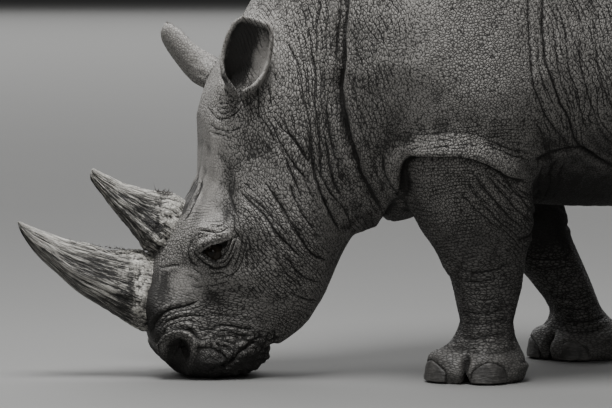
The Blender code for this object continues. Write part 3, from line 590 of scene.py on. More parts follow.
NECK_FOLDS = folds(
    (350, 100, -300, 1360, -330, 1200, -352, 1000, -366, 800, -367, 735, -352, 660, -325, 575, -298, 515,
     -262, 458, -236, 410),
    (60, 40, -335, 1220, -362, 1000, -374, 880, -378, 780),
    (110, 50, -450, 680, -440, 600, -431, 555, -408, 480, -385, 430, -362, 385),
    (70, 42, -436, 575, -410, 532, -385, 490, -355, 450, -330, 400),
    (50, 40, -420, 1180, -425, 1100, -418, 1020, -415, 980),
    (45, 36, -395, 760, -398, 690, -390, 620, -372, 560),
    (60, 40, -405, 640, -395, 570, -375, 510, -345, 460),
    # below and behind the ear
    (50, 30, -718, 731, -708, 712, -685, 689, -665, 690, -641, 700, -625, 718, -615, 741),
    (50, 28, -691, 712, -671, 702, -651, 708, -632, 721),
    (40, 28, -688, 721, -668, 715, -645, 721, -625, 734),
    (30, 26, -685, 731, -665, 728, -641, 734),
    (40, 30, -715, 676, -691, 662, -665, 658, -638, 660, -621, 668),
    (30, 28, -708, 652, -678, 647, -642, 635),
    # down the side of the neck
    (60, 34, -415, 990, -425, 941, -428, 891, -425, 832),
    (75, 36, -445, 904, -441, 859, -432, 806, -432, 760, -425, 694, -418, 628, -415, 562, -405, 476),
    (60, 34, -453, 809, -448, 760, -441, 730),
    (75, 36, -482, 826, -465, 760, -451, 711, -441, 661, -435, 595, -428, 529, -418, 476),
    (60, 34, -512, 895, -495, 865, -475, 819, -462, 767),
    (80, 38, -548, 682, -528, 635, -508, 602, -492, 576, -478, 553, -445, 523),
    (70, 36, -515, 688, -495, 642, -475, 612, -451, 582, -431, 552),
    (60, 34, -528, 685, -512, 655, -488, 638, -468, 609, -445, 582),
    (75, 36, -560, 682, -545, 642, -522, 609, -501, 566, -488, 530, -468, 497),
    (50, 32, -578, 777, -578, 728, -571, 675),
    (40, 30, -600, 761, -598, 712),
    (35, 28, -608, 754, -608, 715),
    (45, 32, -552, 780, -548, 741, -545, 711),
    (40, 30, -535, 806, -528, 780),
    (60, 34, -495, 550, -482, 516, -465, 477),
)
SHOULDER_FOLDS = folds(
    # on the roll over the fore leg
    (50, 30, -150, 603, -125, 609, -104, 613, -65, 615, -25, 609),
    (25, 26, -205, 615, -180, 622, -149, 625, -104, 626, -50, 622),
    (25, 26, -165, 642, -120, 648, -70, 646, -20, 635),
    (30, 28, -10, 617, 30, 604, 75, 585, 120, 575),
    (30, 28, -30, 640, 20, 620, 70, 602, 120, 592),
    (60, 40, -268, 600, -266, 560, -256, 528, -240, 500, -215, 480),
    # behind the shoulder
    (100, 50, 140, 1041, 140, 990, 141, 912, 149, 835, 165, 788, 187, 723, 216, 679, 232, 630, 267, 596,
     313, 567, 356, 548),
    (60, 36, 103, 1015, 103, 938, 109, 861, 120, 765, 136, 721, 166, 667, 216, 617, 241, 593),
    (40, 32, 122, 964, 127, 874, 138, 796, 157, 744, 189, 685, 222, 633),
    (40, 32, 170, 912, 178, 835, 194, 770, 221, 710, 238, 658),
    (40, 32, 199, 938, 207, 835, 226, 757, 248, 692, 259, 640),
    (40, 32, 234, 912, 245, 809, 269, 731, 302, 653, 345, 600),
    (40, 32, 273, 938, 285, 834, 312, 743, 350, 678),
    # lower edge of the flank, and the web of skin behind the leg
    (110, 60, 113, 571, 161, 586, 201, 599, 241, 606, 281, 588, 316, 567, 361, 548),
    (70, 46, 193, 583, 179, 545, 180, 503, 164, 464, 140, 436),
    (40, 36, 155, 571, 148, 529, 153, 488, 143, 452),
    (35, 36, 222, 581, 206, 544, 204, 503, 191, 472),
    # elbow
    (60, 42, -38, 547, -12, 510, 26, 468, 68, 429, 111, 397),
    (60, 42, -6, 546, 28, 505, 68, 465, 111, 426, 130, 405),
    (50, 40, 33, 541, 68, 504, 100, 473, 129, 441),
    (40, 40, -59, 537, -38, 500, -6, 461, 34, 424, 74, 390),
    (100, 50, 129, 452, 137, 420, 132, 392, 111, 374, 82, 369),
    (35, 30, -12, 562, 31, 520, 76, 478, 116, 444),
    (35, 30, -36, 549, 10, 500, 58, 455, 103, 421),
    (35, 30, -57, 531, -9, 479, 39, 435, 87, 398),
    (30, 30, -75, 501, -30, 454, 18, 414, 66, 385),
    (30, 28, 20, 559, 65, 515, 111, 470),
    (25, 28, -86, 552, -59, 516, -38, 492),
    (30, 30, 41, 546, 81, 509, 121, 478),
    # wrist and shank
    (40, 36, -85, 314, -53, 293, -11, 287, 34, 297, 74, 312),
    (30, 34, -77, 281, -43, 265, 0, 264, 42, 276),
    (40, 34, -61, 190, -24, 179, 21, 183, 69, 198),
    (30, 34, -55, 158, -16, 150, 32, 157, 72, 166),
    (40, 36, -69, 122, -31, 116, 16, 121, 69, 127),
)
REAR_FOLDS = folds(
    (180, 120, 1400, 1150, 1345, 1000, 1320, 850, 1325, 720, 1350, 620, 1360, 540),
    (100, 90, 1300, 900, 1285, 780, 1300, 660, 1310, 580),
    (150, 100, 1470, 560, 1530, 600, 1620, 610, 1720, 600, 1820, 620, 1920, 680),
    (80, 70, 1500, 520, 1570, 555, 1660, 560, 1760, 550),
    (80, 90, 1960, 1300, 1945, 1160, 1930, 1020, 1900, 900),
    (80, 100, 330, 1480, 290, 1330, 270, 1180, 280, 1040),
    (60, 80, 400, 1420, 370, 1280, 355, 1150),
    (70, 80, 1130, 560, 1210, 590, 1290, 640),
    (60, 60, 1640, 470, 1700, 450, 1780, 460, 1840, 480),
    (50, 50, 1640, 160, 1720, 150, 1800, 165),
)


def add_forms(hide):
    """Swells and hollows the large forms; those of the fore legs follow the leg as it stands."""
    x, y, z = hide.points.T
    settled_x = hide.settled()[:, 0]
    height = np.zeros(len(x))
    for _, centre, reach, rise in FORMS:
        across = np.abs(y) - abs(centre[1]) if centre[1] else y
        place = settled_x if centre[2] < 0.62 and centre[0] > -0.15 else x
        lump = rise * bell(place - centre[0], reach[0]) * bell(across, reach[1])
        height += lump * bell(z - centre[2], reach[2])
    hide.raise_by(height)


GROOVE_REACH = 0.016  # how far from a fold's middle its place is kept for the material
TRACKS = 3  # neighbouring folds are kept apart, so that their sides don't mix
SLIGHT_FOLD, DEEP_FOLD = 0.009, 0.0125  # depths from which a fold is drawn fully and without gaps


def add_folds(hide, rows, plane_y, strength, stance=False, wander=0.003, inner=0.02):
    """Cuts narrow creases with rounded lips; they wander a little, and fade at both ends and inside inner."""
    shake = [noise(hide.points, 0.045, n) + 0.55 * noise(hide.points, 0.014, n + 2) for n in (1, 2)]
    flat = hide.side_view(plane_y, stance) + wander * np.stack(shake, axis=1)
    outside = ramp(np.abs(hide.points[:, 1]), inner, inner + 0.05)
    height = np.zeros(len(flat))
    for index, (depth, width, path) in enumerate(rows):
        line = curve_through(path)
        margin = max(6 * width, GROOVE_REACH)
        low, high = line.min(axis=0) - margin, line.max(axis=0) + margin
        near = np.flatnonzero(((flat > low) & (flat < high)).all(axis=1))
        gap, side, along = beside(flat[near], line)
        fade = ramp(along, 0, 0.20) * ramp(along, 1, 0.80) * outside[near]
        uneven = 0.85 + 0.3 * noise(hide.points[near], 0.06, 3)
        crease = -np.exp(-((gap / width) ** 1.5)) + 0.26 * bell(gap - 2.3 * width, 1.3 * width)
        height[near] += depth * fade * uneven * crease
        track = index % TRACKS
        share = (0.30 + 0.70 * min(depth / SLIGHT_FOLD, 1)) * fade**0.6
        share *= ramp(gap, GROOVE_REACH, 0.5 * GROOVE_REACH)
        share *= 1 + (0.35 * noise(hide.points[near], 0.030, 5) - 0.25) * (depth < DEEP_FOLD)
        closer = share > hide.groove_share[near, track]
        hide.groove_share[near[closer], track] = share[closer]
        hide.groove_gap[near[closer], track] = (side * gap / (0.34 * width))[closer]
    hide.raise_by(strength * height)


# Lower edge of the roll over the fore leg, as x and z along it
SLEEVE = (
    (-0.209, 0.475), (-0.215, 0.520), (-0.219, 0.549), (-0.215, 0.572), (-0.202, 0.587),
    (-0.183, 0.595), (-0.149, 0.596), (-0.112, 0.594), (-0.075, 0.594), (-0.038, 0.588),
    (-0.012, 0.578), (0.015, 0.564), (0.041, 0.549), (0.068, 0.535), (0.094, 0.528),
    (0.125, 0.526),
)


def add_sleeve(hide):
    """The thick roll of hide that hangs over the top of each fore leg, and the shaded gap beneath it."""
    line = curve_through(SLEEVE)
    flat = hide.side_view(SHOULDER, stance=True)
    gap, side, along = beside(flat, line)
    outside = ramp(np.abs(hide.points[:, 1]), 0.12, 0.22)
    fade = ramp(along, 0, 0.10) * ramp(along, 1, 0.80) * outside
    over = np.where(side > 0, gap, -gap)
    front = ramp(flat[:, 0], -0.165, -0.205)
    slip = fade * bell(over - 0.012, 0.013)
    hide.points[:, 0] += 0.009 * slip * front
    hide.points[:, 2] -= 0.011 * slip * (1 - front)
    roll = 0.029 * ramp(over, -0.003, 0.014) * bell(np.maximum(over - 0.016, 0), 0.030)
    under = -0.013 * ramp(over, 0.004, -0.002) * bell(np.minimum(over, 0), 0.026)
    hide.groove_share[:, 1] = 1.2 * fade * ramp(gap, 0.030, 0.020)
    hide.groove_gap[:, 1] = (over + 0.004) / 0.0050
    hide.raise_by(fade * (roll + under))


def stripes(points, across, spacing, seed):
    """Rounded ridges with narrow creases between them, about `spacing` apart along `across`."""
    phase = points @ unit(across) / spacing
    phase = phase + 1.1 * noise(points, 4 * spacing, seed) + 0.25 * noise(points, 1.5 * spacing, seed + 1)
    wave = np.abs(np.sin(math.pi * phase)) ** 0.45
    return (wave - 0.75) * (0.6 + 0.4 * noise(points, 3 * spacing, seed + 2))


def cobbled(points, size, seed):
    """0 on the borders between lumps about `size` across, rising to about 1 at their middles."""
    at = points / size
    cell = np.floor(at)
    nearest, second = np.full(len(at), 9.0), np.full(len(at), 9.0)
    for step in np.ndindex(3, 3, 3):
        corner = cell + step - 1
        shake = np.stack([noise(corner * 0.37, 0.1, seed + n) for n in range(3)], axis=1)
        gap = np.linalg.norm(at - (corner + 0.5 + 0.42 * shake), axis=1)
        second = np.minimum(second, np.maximum(gap, nearest))
        nearest = np.minimum(nearest, gap)
    return np.clip((second - nearest) * 1.6, 0, 1)


LIP_BOX = ((-0.690, None, -0.02), (-0.50, None, 0.122), 0.016)  # low and high corner, and soft edge


def add_cobbles(hide):
    """The lumpy, cracked skin of the lips."""
    share = window(hide.points, *LIP_BOX)
    near = np.flatnonzero(share > 0.01)
    points = hide.points[near]
    wobble = np.stack([noise(points, 0.02, n) for n in (61, 62, 63)], axis=1) * 0.006
    lump = cobbled((points + wobble) * (0.8, 0.6, 1.2), 0.024, 64)
    height = np.zeros(len(share))
    height[near] = (0.0065 * np.sqrt(lump) - 0.0045) * share[near]
    # Painted shade in the cracks between the lumps.
    hide.pit[near] = np.maximum(hide.pit[near], 0.95 * ramp(lump, 0.30, 0.06) * share[near])
    hide.raise_by(height)


def window(points, low, high, soft):
    """1 inside a box and 0 outside, with soft edges; None leaves a side open."""
    share = np.ones(len(points))
    for axis in range(3):
        value = np.abs(points[:, 1]) if axis == 1 else points[:, axis]
        if low[axis] is not None:
            share *= ramp(value, low[axis] - soft, low[axis] + soft)
        if high[axis] is not None:
            share *= ramp(value, high[axis] + soft, high[axis] - soft)
    return share


# Fields of small folds: box (low, high), soft edge, direction across the folds, spacing and height of the
# modelled ones, and spacing of the fine lines
FIELDS = (
    ("neck", (-0.52, 0.10, 0.42), (-0.375, None, 1.25), 0.035, (1, 0, 0.12), 0.024, 0.0016, 0.0115),
    ("neck_front", (-0.62, 0.10, 0.60), (-0.50, None, 1.10), 0.04, (1, 0, 0.5), 0.028, 0.0012, 0.0105),
    ("cheek", (-0.62, 0.08, 0.20), (-0.36, None, 0.54), 0.03, (0.72, 0, 0.69), 0.019, 0.0013, 0.0100),
    ("jaw", (-0.60, 0.06, 0.06), (-0.40, None, 0.21), 0.03, (0.35, 0, 0.94), 0.018, 0.0010, 0.0090),
    ("throat", (-0.40, None, 0.36), (-0.22, None, 0.60), 0.03, (0.8, 0, 0.6), 0.022, 0.0016, 0.0110),
    ("muzzle", (-0.90, None, 0.11), (-0.60, None, 0.24), 0.02, (0.25, 0, 0.97), 0.013, 0.0012, 0.0085),
    ("lips", (-0.82, None, 0.00), (-0.52, None, 0.09), 0.015, (0.6, 0, 0.75), 0.017, 0.0026, 0.0100),
    ("breast", (-0.36, 0.05, 0.55), (-0.22, None, 1.20), 0.04, (1, 0, 0.3), 0.030, 0.0012, 0.0130),
    ("behind_shoulder", (0.10, 0.15, 0.52), (0.46, None, 1.25), 0.07, (0.9, 0, 0.4), 0.038, 0.0030, 0.0150),
    ("sleeve", (-0.27, 0.20, 0.585), (0.10, None, 0.68), 0.018, (-0.10, 0, 1), 0.014, 0.0016, 0.0090),
    ("arm_back", (-0.02, 0.10, 0.30), (0.18, None, 0.54), 0.04, (0.62, 0, 0.78), 0.019, 0.0020, 0.0120),
    ("arm_front", (-0.24, 0.10, 0.30), (0.00, None, 0.58), 0.04, (-0.12, 0, 1), 0.018, 0.0012, 0.0095),
    ("fore_shank", (-0.20, 0.05, 0.08), (0.62, None, 0.30), 0.02, (0, 0, 1), 0.015, 0.0018, 0.0090),
    ("hind_shank", (1.50, 0.05, 0.10), (2.10, None, 0.48), 0.03, (0.1, 0, 1), 0.018, 0.0024, 0.0110),
    ("thigh", (1.45, 0.15, 0.50), (2.10, None, 1.10), 0.08, (0.8, 0, 0.6), 0.040, 0.0030, 0.0170),
    ("flank", (1.15, 0.15, 0.50), (1.48, None, 1.20), 0.10, (1, 0, 0.2), 0.042, 0.0028, 0.0180),
    ("ribs", (0.42, 0.20, 0.60), (1.20, None, 1.35), 0.12, (1, 0, -0.18), 0.085, 0.0028, 0.0240),
    ("belly", (0.20, None, 0.38), (1.35, None, 0.60), 0.06, (1, 0.2, 0), 0.050, 0.0035, 0.0180),
    ("rump", (1.85, 0.03, 0.75), (2.25, None, 1.40), 0.07, (0.8, 0, 0.5), 0.045, 0.0035, 0.0180),
    ("hump", (-0.46, None, 1.15), (0.10, None, 1.80), 0.10, (1, 0, -0.6), 0.050, 0.0025, 0.0180),
    ("brow", (-0.76, 0.06, 0.39), (-0.64, None, 0.46), 0.02, (0, 0, 1), 0.012, 0.0003, 0.0080),
    ("tail", (2.10, None, 0.75), (2.30, 0.08, 1.34), 0.02, (0, 0, 1), 0.016, 0.0016, 0.0090),
)


def add_wrinkles(hide, strength):
    """Models the small folds, and keeps the course of finer lines; between two fields the lines fade."""
    height, runner_up = np.zeros(len(hide.points)), np.zeros(len(hide.points))
    settled = hide.settled()
    for seed, (_, low, high, soft, across, spacing, rise, fine) in enumerate(FIELDS, 11):
        share = window(settled, low, high, soft)
        near = np.flatnonzero(share > 0.01)
        own, points = share[near], settled[near]
        height[near] += rise * own * stripes(points, across, spacing, seed)
        phase = points @ unit(across) / fine
        phase += 1.6 * noise(points, 0.09, seed) + 0.5 * noise(points, 0.035, seed + 40)
        best = own > hide.line_share[near]
        runner_up[near] = np.where(best, hide.line_share[near], np.maximum(runner_up[near], own))
        hide.line_share[near[best]] = own[best]
        hide.line_phase[near[best]] = phase[best]
    hide.line_share = np.clip(hide.line_share - runner_up, 0, 1)
    hide.raise_by(strength * height)


def thinned(obj, triangles):
    count = sum(len(face.vertices) - 2 for face in obj.data.polygons)
    if count > triangles:
        finish_with(obj, "DECIMATE", ratio=triangles / count)


def store(mesh, name, values):
    """Keeps a number or a triple for each vertex, for the materials."""
    kind, field = ("FLOAT", "value") if values.ndim == 1 else ("FLOAT_VECTOR", "vector")
    layer = mesh.attributes.new(name, kind, "POINT")
    layer.data.foreach_set(field, np.ascontiguousarray(values, dtype=np.float32).ravel())


def mark_hide(obj):
    """Stores how deep in a crease each point lies, which the material darkens as painted shade, and where the
    hide is pale, dark, smooth or upright; pale and dark are partly painted light and shade.
    """
    mesh = obj.data
    edges, points, normals = edges_of(mesh), read(mesh), read(mesh, "normal")
    for name, passes, depth in (("crease", 2, 0.0011), ("hollow", 24, 0.0080)):
        inward = ((smoothed(points, edges, passes) - points) * normals).sum(axis=1)
        store(mesh, name, smoothed(np.clip(inward / depth, -1, 1), edges, 1, 0.5))
    local = points - (FOOT_X, 0, 0)
    for name, places in MARKS.items():
        share = np.zeros(len(points))
        for low, high, soft, amount in places:
            share = np.maximum(share, amount * window(local, low, high, soft))
        store(mesh, name, smoothed(share, edges, 6))


# low corner, high corner, softness and amount; y is the distance from the mid-plane
MARKS = {
    # Darker hide: partly the hide's own darker skin on the mouth, legs and belly, partly painted shade on the
    # lower body, the belly, the legs and under the jaw.
    "dark": (
        ((-1.00, None, -0.10), (-0.50, None, 0.075), 0.035, 1.0),
        ((-1.00, None, -0.10), (-0.50, None, 0.20), 0.050, 0.45),
        ((-0.56, None, 0.05), (-0.25, None, 0.36), 0.070, 0.10),
        ((-0.50, None, 0.20), (-0.10, None, 0.68), 0.070, 0.15),
        ((-0.30, None, -0.10), (0.80, None, 0.44), 0.060, 0.90),
        ((0.12, None, -0.10), (1.60, None, 0.66), 0.050, 1.0),
        ((1.30, None, -0.10), (2.30, None, 0.60), 0.150, 0.85),
    ),
    # Paler hide: partly dust, partly painted light on faces turned to the lamps: the forehead, brow, top of
    # the head, cheek, back, top of the neck and top of the roll; the upper lid and the ear's inner wall are
    # painted light only.
    "pale": (
        ((-0.82, None, 0.40), (-0.655, None, 0.70), 0.030, 0.50),
        ((-0.74, None, 0.37), (-0.62, None, 0.42), 0.020, 0.45),
        ((-0.86, None, 0.70), (-0.50, None, 1.00), 0.06, 0.45),
        ((-0.34, None, 0.62), (0.10, None, 0.72), 0.050, 0.20),
        ((-0.62, 0.08, 0.18), (-0.45, None, 0.36), 0.050, 0.22),
        ((-0.60, None, 1.00), (2.40, None, 1.90), 0.25, 0.70),
        ((-0.58, None, 0.70), (-0.36, None, 1.30), 0.12, 0.55),
        # Painted light on the top of the roll over the fore leg.
        ((-0.26, 0.25, 0.59), (0.00, None, 0.645), 0.016, 0.45),
        # Painted light on the upper lid.
        ((-0.725, 0.12, 0.362), (-0.635, None, 0.400), 0.010, 0.95),
        # Painted light on the inner wall of the left ear's cup.
        ((-0.60, 0.16, 0.77), (-0.545, None, 0.90), 0.012, 1.0),
    ),
    "shade": (
        ((0.120, 0.10, 0.30), (0.90, None, 0.530), 0.024, 0.90),
        ((-0.90, None, -0.10), (-0.53, None, 0.07), 0.030, 0.88),
        ((-0.66, 0.05, 0.05), (-0.53, None, 0.10), 0.020, 0.45),
        ((-0.866, 0.03, 0.10), (-0.812, None, 0.305), 0.010, 1.0),
        ((-0.776, None, 0.414), (-0.716, 0.075, 0.561), 0.012, 0.85),
        ((-0.250, None, 0.30), (-0.150, None, 0.50), 0.030, 0.45),
        ((-0.650, 0.15, 0.40), (-0.626, None, 0.50), 0.014, 0.55),
        ((0.20, None, 0.30), (1.60, 0.45, 0.50), 0.080, 0.45),
    ),
    # Painted light: the inner wall of the left ear's cup is kept clear of the darkening of creases.
    "bare": (
        ((-0.60, 0.16, 0.77), (-0.545, None, 0.90), 0.015, 1.0),
    ),
    "smooth": (
        ((-0.84, None, 0.41), (-0.660, None, 0.66), 0.030, 1.0),
        ((-0.90, None, 0.20), (-0.700, None, 0.30), 0.025, 0.7),
        ((-0.80, 0.10, 0.78), (-0.52, None, 0.98), 0.030, 0.6),
        ((-0.35, None, -0.10), (2.90, None, 0.080), 0.030, 0.5),
    ),
    "upright": (
        ((-0.66, None, 0.40), (-0.20, None, 1.80), 0.10, 1.0),
        ((0.10, None, 0.50), (0.60, None, 1.20), 0.15, 0.7),
        ((1.10, None, 0.50), (2.30, None, 1.30), 0.15, 0.6),
    ),
    "slanted": (
        ((-0.64, 0.05, 0.20), (-0.40, None, 0.50), 0.05, 1.0),
    ),
    "level": (
        ((-0.30, None, -0.10), (2.20, None, 0.36), 0.06, 1.0),
        ((-0.90, None, 0.10), (-0.56, None, 0.24), 0.04, 1.0),
        ((2.12, None, 0.70), (2.40, 0.08, 1.36), 0.03, 1.0),
    ),
}


# ---------------------------------------------------------------- horns
# upper edge (x, z), lower edge (x, z), half width; the first stations lie inside the head
FRONT_HORN = (
    ((-0.790, 0.315), (-0.790, 0.122), 0.064),
    ((-0.850, 0.325), (-0.850, 0.122), 0.068),
    ((-0.912, 0.333), (-0.905, 0.150), 0.067),
    ((-0.972, 0.345), (-0.960, 0.184), 0.060),
    ((-1.045, 0.362), (-1.024, 0.226), 0.046),
    ((-1.102, 0.382), (-1.084, 0.280), 0.033),
    ((-1.146, 0.398), (-1.136, 0.332), 0.021),
    ((-1.172, 0.409), (-1.168, 0.378), 0.011),
    ((-1.180, 0.413), (-1.179, 0.404), 0.004),
)
REAR_HORN = (
    ((-0.722, 0.450), (-0.808, 0.315), 0.058),
    ((-0.756, 0.476), (-0.846, 0.338), 0.061),
    ((-0.805, 0.486), (-0.868, 0.366), 0.053),
    ((-0.855, 0.497), (-0.898, 0.404), 0.044),
    ((-0.905, 0.514), (-0.928, 0.440), 0.035),
    ((-0.950, 0.532), (-0.960, 0.484), 0.025),
    ((-0.977, 0.544), (-0.985, 0.518), 0.015),
    ((-0.985, 0.547), (-0.989, 0.533), 0.007),
)
HORN_RINGS, HORN_COLUMNS = 260, 150
HORN_ROUNDNESS, HORN_KEEL = 1 / 1.1, 0.12  # below 1 the section is squarer; the keel narrows the upper side


def horn(name, stations, wear_of):
    """A grid wrapped into a closed horn and raised by wear_of(points, along, angle)."""
    obj = added(bpy.ops.mesh.primitive_grid_add, x_subdivisions=HORN_RINGS, y_subdivisions=HORN_COLUMNS,
                size=2)
    obj.name = obj.data.name = name
    flat = read(obj.data)
    along, angle = (flat[:, 0] + 1) / 2, (flat[:, 1] + 1) * math.pi
    points, out, thick = horn_point(stations, along, angle)
    height = np.minimum(wear_of(points, along, angle), thick * 0.5)
    write(obj.data, points + out * height[:, None] + (FOOT_X, 0, 0))
    store(obj.data, "along", along)
    store(obj.data, "turn_x", np.cos(angle))
    store(obj.data, "turn_y", np.sin(angle))
    bpy.ops.object.mode_set(mode="EDIT")
    bpy.ops.mesh.select_all(action="SELECT")
    bpy.ops.mesh.remove_doubles(threshold=1e-5)
    bpy.ops.mesh.fill_holes(sides=0)
    bpy.ops.mesh.normals_make_consistent(inside=False)
    bpy.ops.object.mode_set(mode="OBJECT")
    bpy.ops.object.shade_smooth()
    return obj


def horn_point(stations, along, angle):
    """The place on the plain horn, the way out of it, and its half height there."""
    rows = np.array([(*upper, *lower, width) for upper, lower, width in stations])
    t = np.clip(along * (len(rows) - 1), 0, len(rows) - 1 - 1e-9)
    i = t.astype(int)
    row = between(rows[np.maximum(i - 1, 0)], rows[i], rows[i + 1], rows[np.minimum(i + 2, len(rows) - 1)],
                  (t - i)[:, None])
    upper, lower, width = row[:, :2], row[:, 2:4], row[:, 4]
    up, side = (np.sign(wave) * np.abs(wave) ** HORN_ROUNDNESS for wave in (np.cos(angle), np.sin(angle)))
    rise = (upper - lower) / 2
    at = (upper + lower) / 2 + rise * up[:, None]
    tall = np.hypot(*rise.T)
    across = side * width * (1 - HORN_KEEL * up)
    points = np.stack([at[:, 0], across, at[:, 1]], axis=1)
    out = np.stack([rise[:, 0] / tall * up, side, rise[:, 1] / tall * up], axis=1)
    return points, out / np.linalg.norm(out, axis=1)[:, None], np.minimum(tall, width)


def worn(points, seeds, size):
    """Noise of several sizes added up, from about -1 to 1."""
    return sum(noise(points, size / 2**n, seeds + n) / 1.6**n for n in range(3)) / 2


def front_wear(points, along, angle):
    """Fibres, growth rings, a frayed upper edge and a scaly collar at the base."""
    x = points[:, 0]
    streaks = np.stack([along * 0.9, np.cos(angle), np.sin(angle)], axis=1)
    fibre = noise(streaks, 0.085, 31) + 0.6 * noise(streaks, 0.035, 32)
    broad = noise(streaks, 0.35, 33)
    collar = bell(x + 0.868, 0.030)
    scales = np.abs(noise(points, 0.017, 34)) - 0.3
    rough = worn(points, 35, 0.024)
    base = ramp(x, -0.93, -0.84)
    top = ramp(np.cos(angle), 0.72, 0.95)
    splinters = top * ramp(x, -1.06, -1.00) * noise(streaks * (2, 1, 1), 0.05, 38)
    tip = ramp(along, 1.0, 0.86)
    height = 0.0016 * fibre * tip + 0.0035 * broad * tip + collar * (0.004 + 0.006 * rough + 0.004 * scales)
    height += base * 0.004 * rough + 0.006 * splinters
    height -= 0.005 * ramp(x, -0.905, -0.925) * ramp(x, -0.985, -0.945) * top
    rings = np.sin(x / 0.013 * math.pi + 2 * noise(points, 0.05, 39))
    return height + 0.0007 * rings * ramp(x, -1.05, -0.90)


def rear_wear(points, along, angle):
    """Fibres in broad plates, a rough base, a chip out of the upper edge and a hollow in the side."""
    x, _, z = points.T
    streaks = np.stack([along * 0.7, np.cos(angle), np.sin(angle)], axis=1)
    plates = np.abs(noise(streaks * (0.5, 1, 1), 0.22, 41))
    fibre = noise(streaks, 0.07, 42) + 0.6 * noise(streaks, 0.03, 43)
    rough = worn(points, 44, 0.022)
    base = ramp(along, 0.42, 0.16)
    chip = ramp(np.cos(angle), 0.3, 0.9) * bell(x + 0.900, 0.030) * (0.6 + 0.4 * rough)
    hollow = bell(x + 0.846, 0.022) * bell(z - 0.437, 0.030) * ramp(np.sin(angle), -0.2, -0.7)
    height = ramp(along, 1.0, 0.88) * (0.0020 * fibre + 0.007 * (plates - 0.35)) + base * 0.008 * rough
    return height - (0.007 * chip + 0.008 * hollow)


def mark_horn(obj, patches):
    """Stores how deep in a crack each point lies, and where the horn is pale (above 0) or dark."""
    mesh = obj.data
    edges, points, normals = edges_of(mesh), read(mesh), read(mesh, "normal")
    inward = ((smoothed(points, edges, 6) - points) * normals).sum(axis=1)
    store(mesh, "crease", np.clip(inward / 0.0010, -1, 1))
    local = points - (FOOT_X, 0, 0)
    patch = np.zeros(len(points))
    for x, z, reach_x, reach_z, amount in patches:
        patch += amount * bell(local[:, 0] - x, reach_x) * bell(local[:, 2] - z, reach_z)
    store(mesh, "patch", patch)


# x, z, reach along x and z, and how pale (above 0) or dark
FRONT_PATCHES = (
    (-0.954, 0.233, 0.026, 0.013, 0.9), (-0.866, 0.270, 0.009, 0.050, 0.9),
    (-0.905, 0.305, 0.040, 0.020, 0.5), (-0.882, 0.185, 0.020, 0.022, 0.7),
    (-0.905, 0.193, 0.035, 0.028, -0.9), (-0.886, 0.255, 0.010, 0.040, -0.9),
    (-1.000, 0.290, 0.070, 0.030, -0.45), (-1.168, 0.385, 0.030, 0.030, -0.5),
    (-0.955, 0.210, 0.040, 0.012, -0.5),
)
REAR_PATCHES = (
    (-0.877, 0.436, 0.018, 0.013, -0.9), (-0.849, 0.418, 0.018, 0.014, -1.0),
    (-0.820, 0.397, 0.018, 0.014, -0.9), (-0.915, 0.475, 0.030, 0.010, -0.6),
    (-0.900, 0.425, 0.030, 0.020, -0.4), (-0.783, 0.441, 0.022, 0.032, 0.8),
    (-0.820, 0.352, 0.022, 0.012, 0.8), (-0.785, 0.478, 0.030, 0.010, -1.0),
)


# ---------------------------------------------------------------- eyes and nails
EYE_RADIUS, CORNEA_RISE = 0.0255, 0.0022
GAZE_X, GAZE_Y, GAZE_Z = -0.42, 0.90, -0.10
PUPIL_LONG, PUPIL_HIGH = 0.24, 0.15  # half its length and height, as shares of the eye's radius
NAIL_GRAIN, NAIL_LIFT = 0.0026, 0.0005  # edge of the mesh's squares, and the nail's height over the floor
NAIL_PROUD = -0.0002  # how far the nail stands out of its solid


def eyeball(name):
    """A ball with a raised cornea; it stores each point's angle from the gaze, and the pupil's place."""
    low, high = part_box(name)
    centre = (low + high) / 2
    obj = added(bpy.ops.mesh.primitive_uv_sphere_add, segments=64, ring_count=40, radius=EYE_RADIUS,
                location=centre)
    obj.name = obj.data.name = name + "_ball"
    bpy.ops.object.transform_apply(location=True, rotation=False, scale=False)
    gaze = np.array(Vector((GAZE_X, math.copysign(GAZE_Y, centre.y), GAZE_Z)).normalized())
    mesh = obj.data
    out = (read(mesh) - np.array(centre)) / EYE_RADIUS
    ahead = out @ gaze
    write(mesh, read(mesh) + out * (CORNEA_RISE * ramp(ahead, 0.80, 0.97))[:, None])
    level = unit(np.cross(gaze, (0, 0, 1)))
    store(mesh, "ahead", np.degrees(np.arccos(np.clip(ahead, -1, 1))))
    above = (out - ahead[:, None] * gaze)[:, 2]
    store(mesh, "pupil", np.hypot(out @ level / PUPIL_LONG, above / PUPIL_HIGH))
    bpy.ops.object.shade_smooth()
    return obj


def nail_piece(name):
    """The nail's solid rounded into a thick plate with growth lines and a worn edge."""
    bm = bmesh.new()
    bm.from_mesh(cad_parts[name].data)
    bmesh.ops.remove_doubles(bm, verts=bm.verts, dist=1e-5)
    obj = new_object(name.replace("nail", "toenail"), bm)
    finish_with(obj, "REMESH", mode="VOXEL", voxel_size=NAIL_GRAIN)
    mesh = obj.data
    edges = edges_of(mesh)
    points = smoothed(read(mesh), edges, 7, 0.7)
    write(mesh, points)
    normals = read(mesh, "normal")
    ridges = np.sin(points[:, 2] / 0.0055 * math.pi + 2.5 * noise(points, 0.03, 51)) * 0.00022
    pits = worn(points, 52, 0.016) * 0.0014
    edge = -0.0022 * ramp(points[:, 2], 0.016, 0.004) * (0.5 + 0.5 * noise(points, 0.012, 56))
    points = points + normals * (ridges + pits + edge + NAIL_PROUD)[:, None]
    points[:, 2] = np.maximum(points[:, 2], NAIL_LIFT)
    write(mesh, points)
    bpy.ops.object.shade_smooth()
    return obj


# ---------------------------------------------------------------- bristles
# along the ear: half width, depth of its cup, and how far round its wall reaches (degrees)
EAR_RIM = ((0.28, 0.058, 0.043, 106), (0.50, 0.061, 0.039, 98), (0.72, 0.058, 0.034, 102),
           (0.89, 0.050, 0.028, 94), (1.00, 0.030, 0.018, 88))
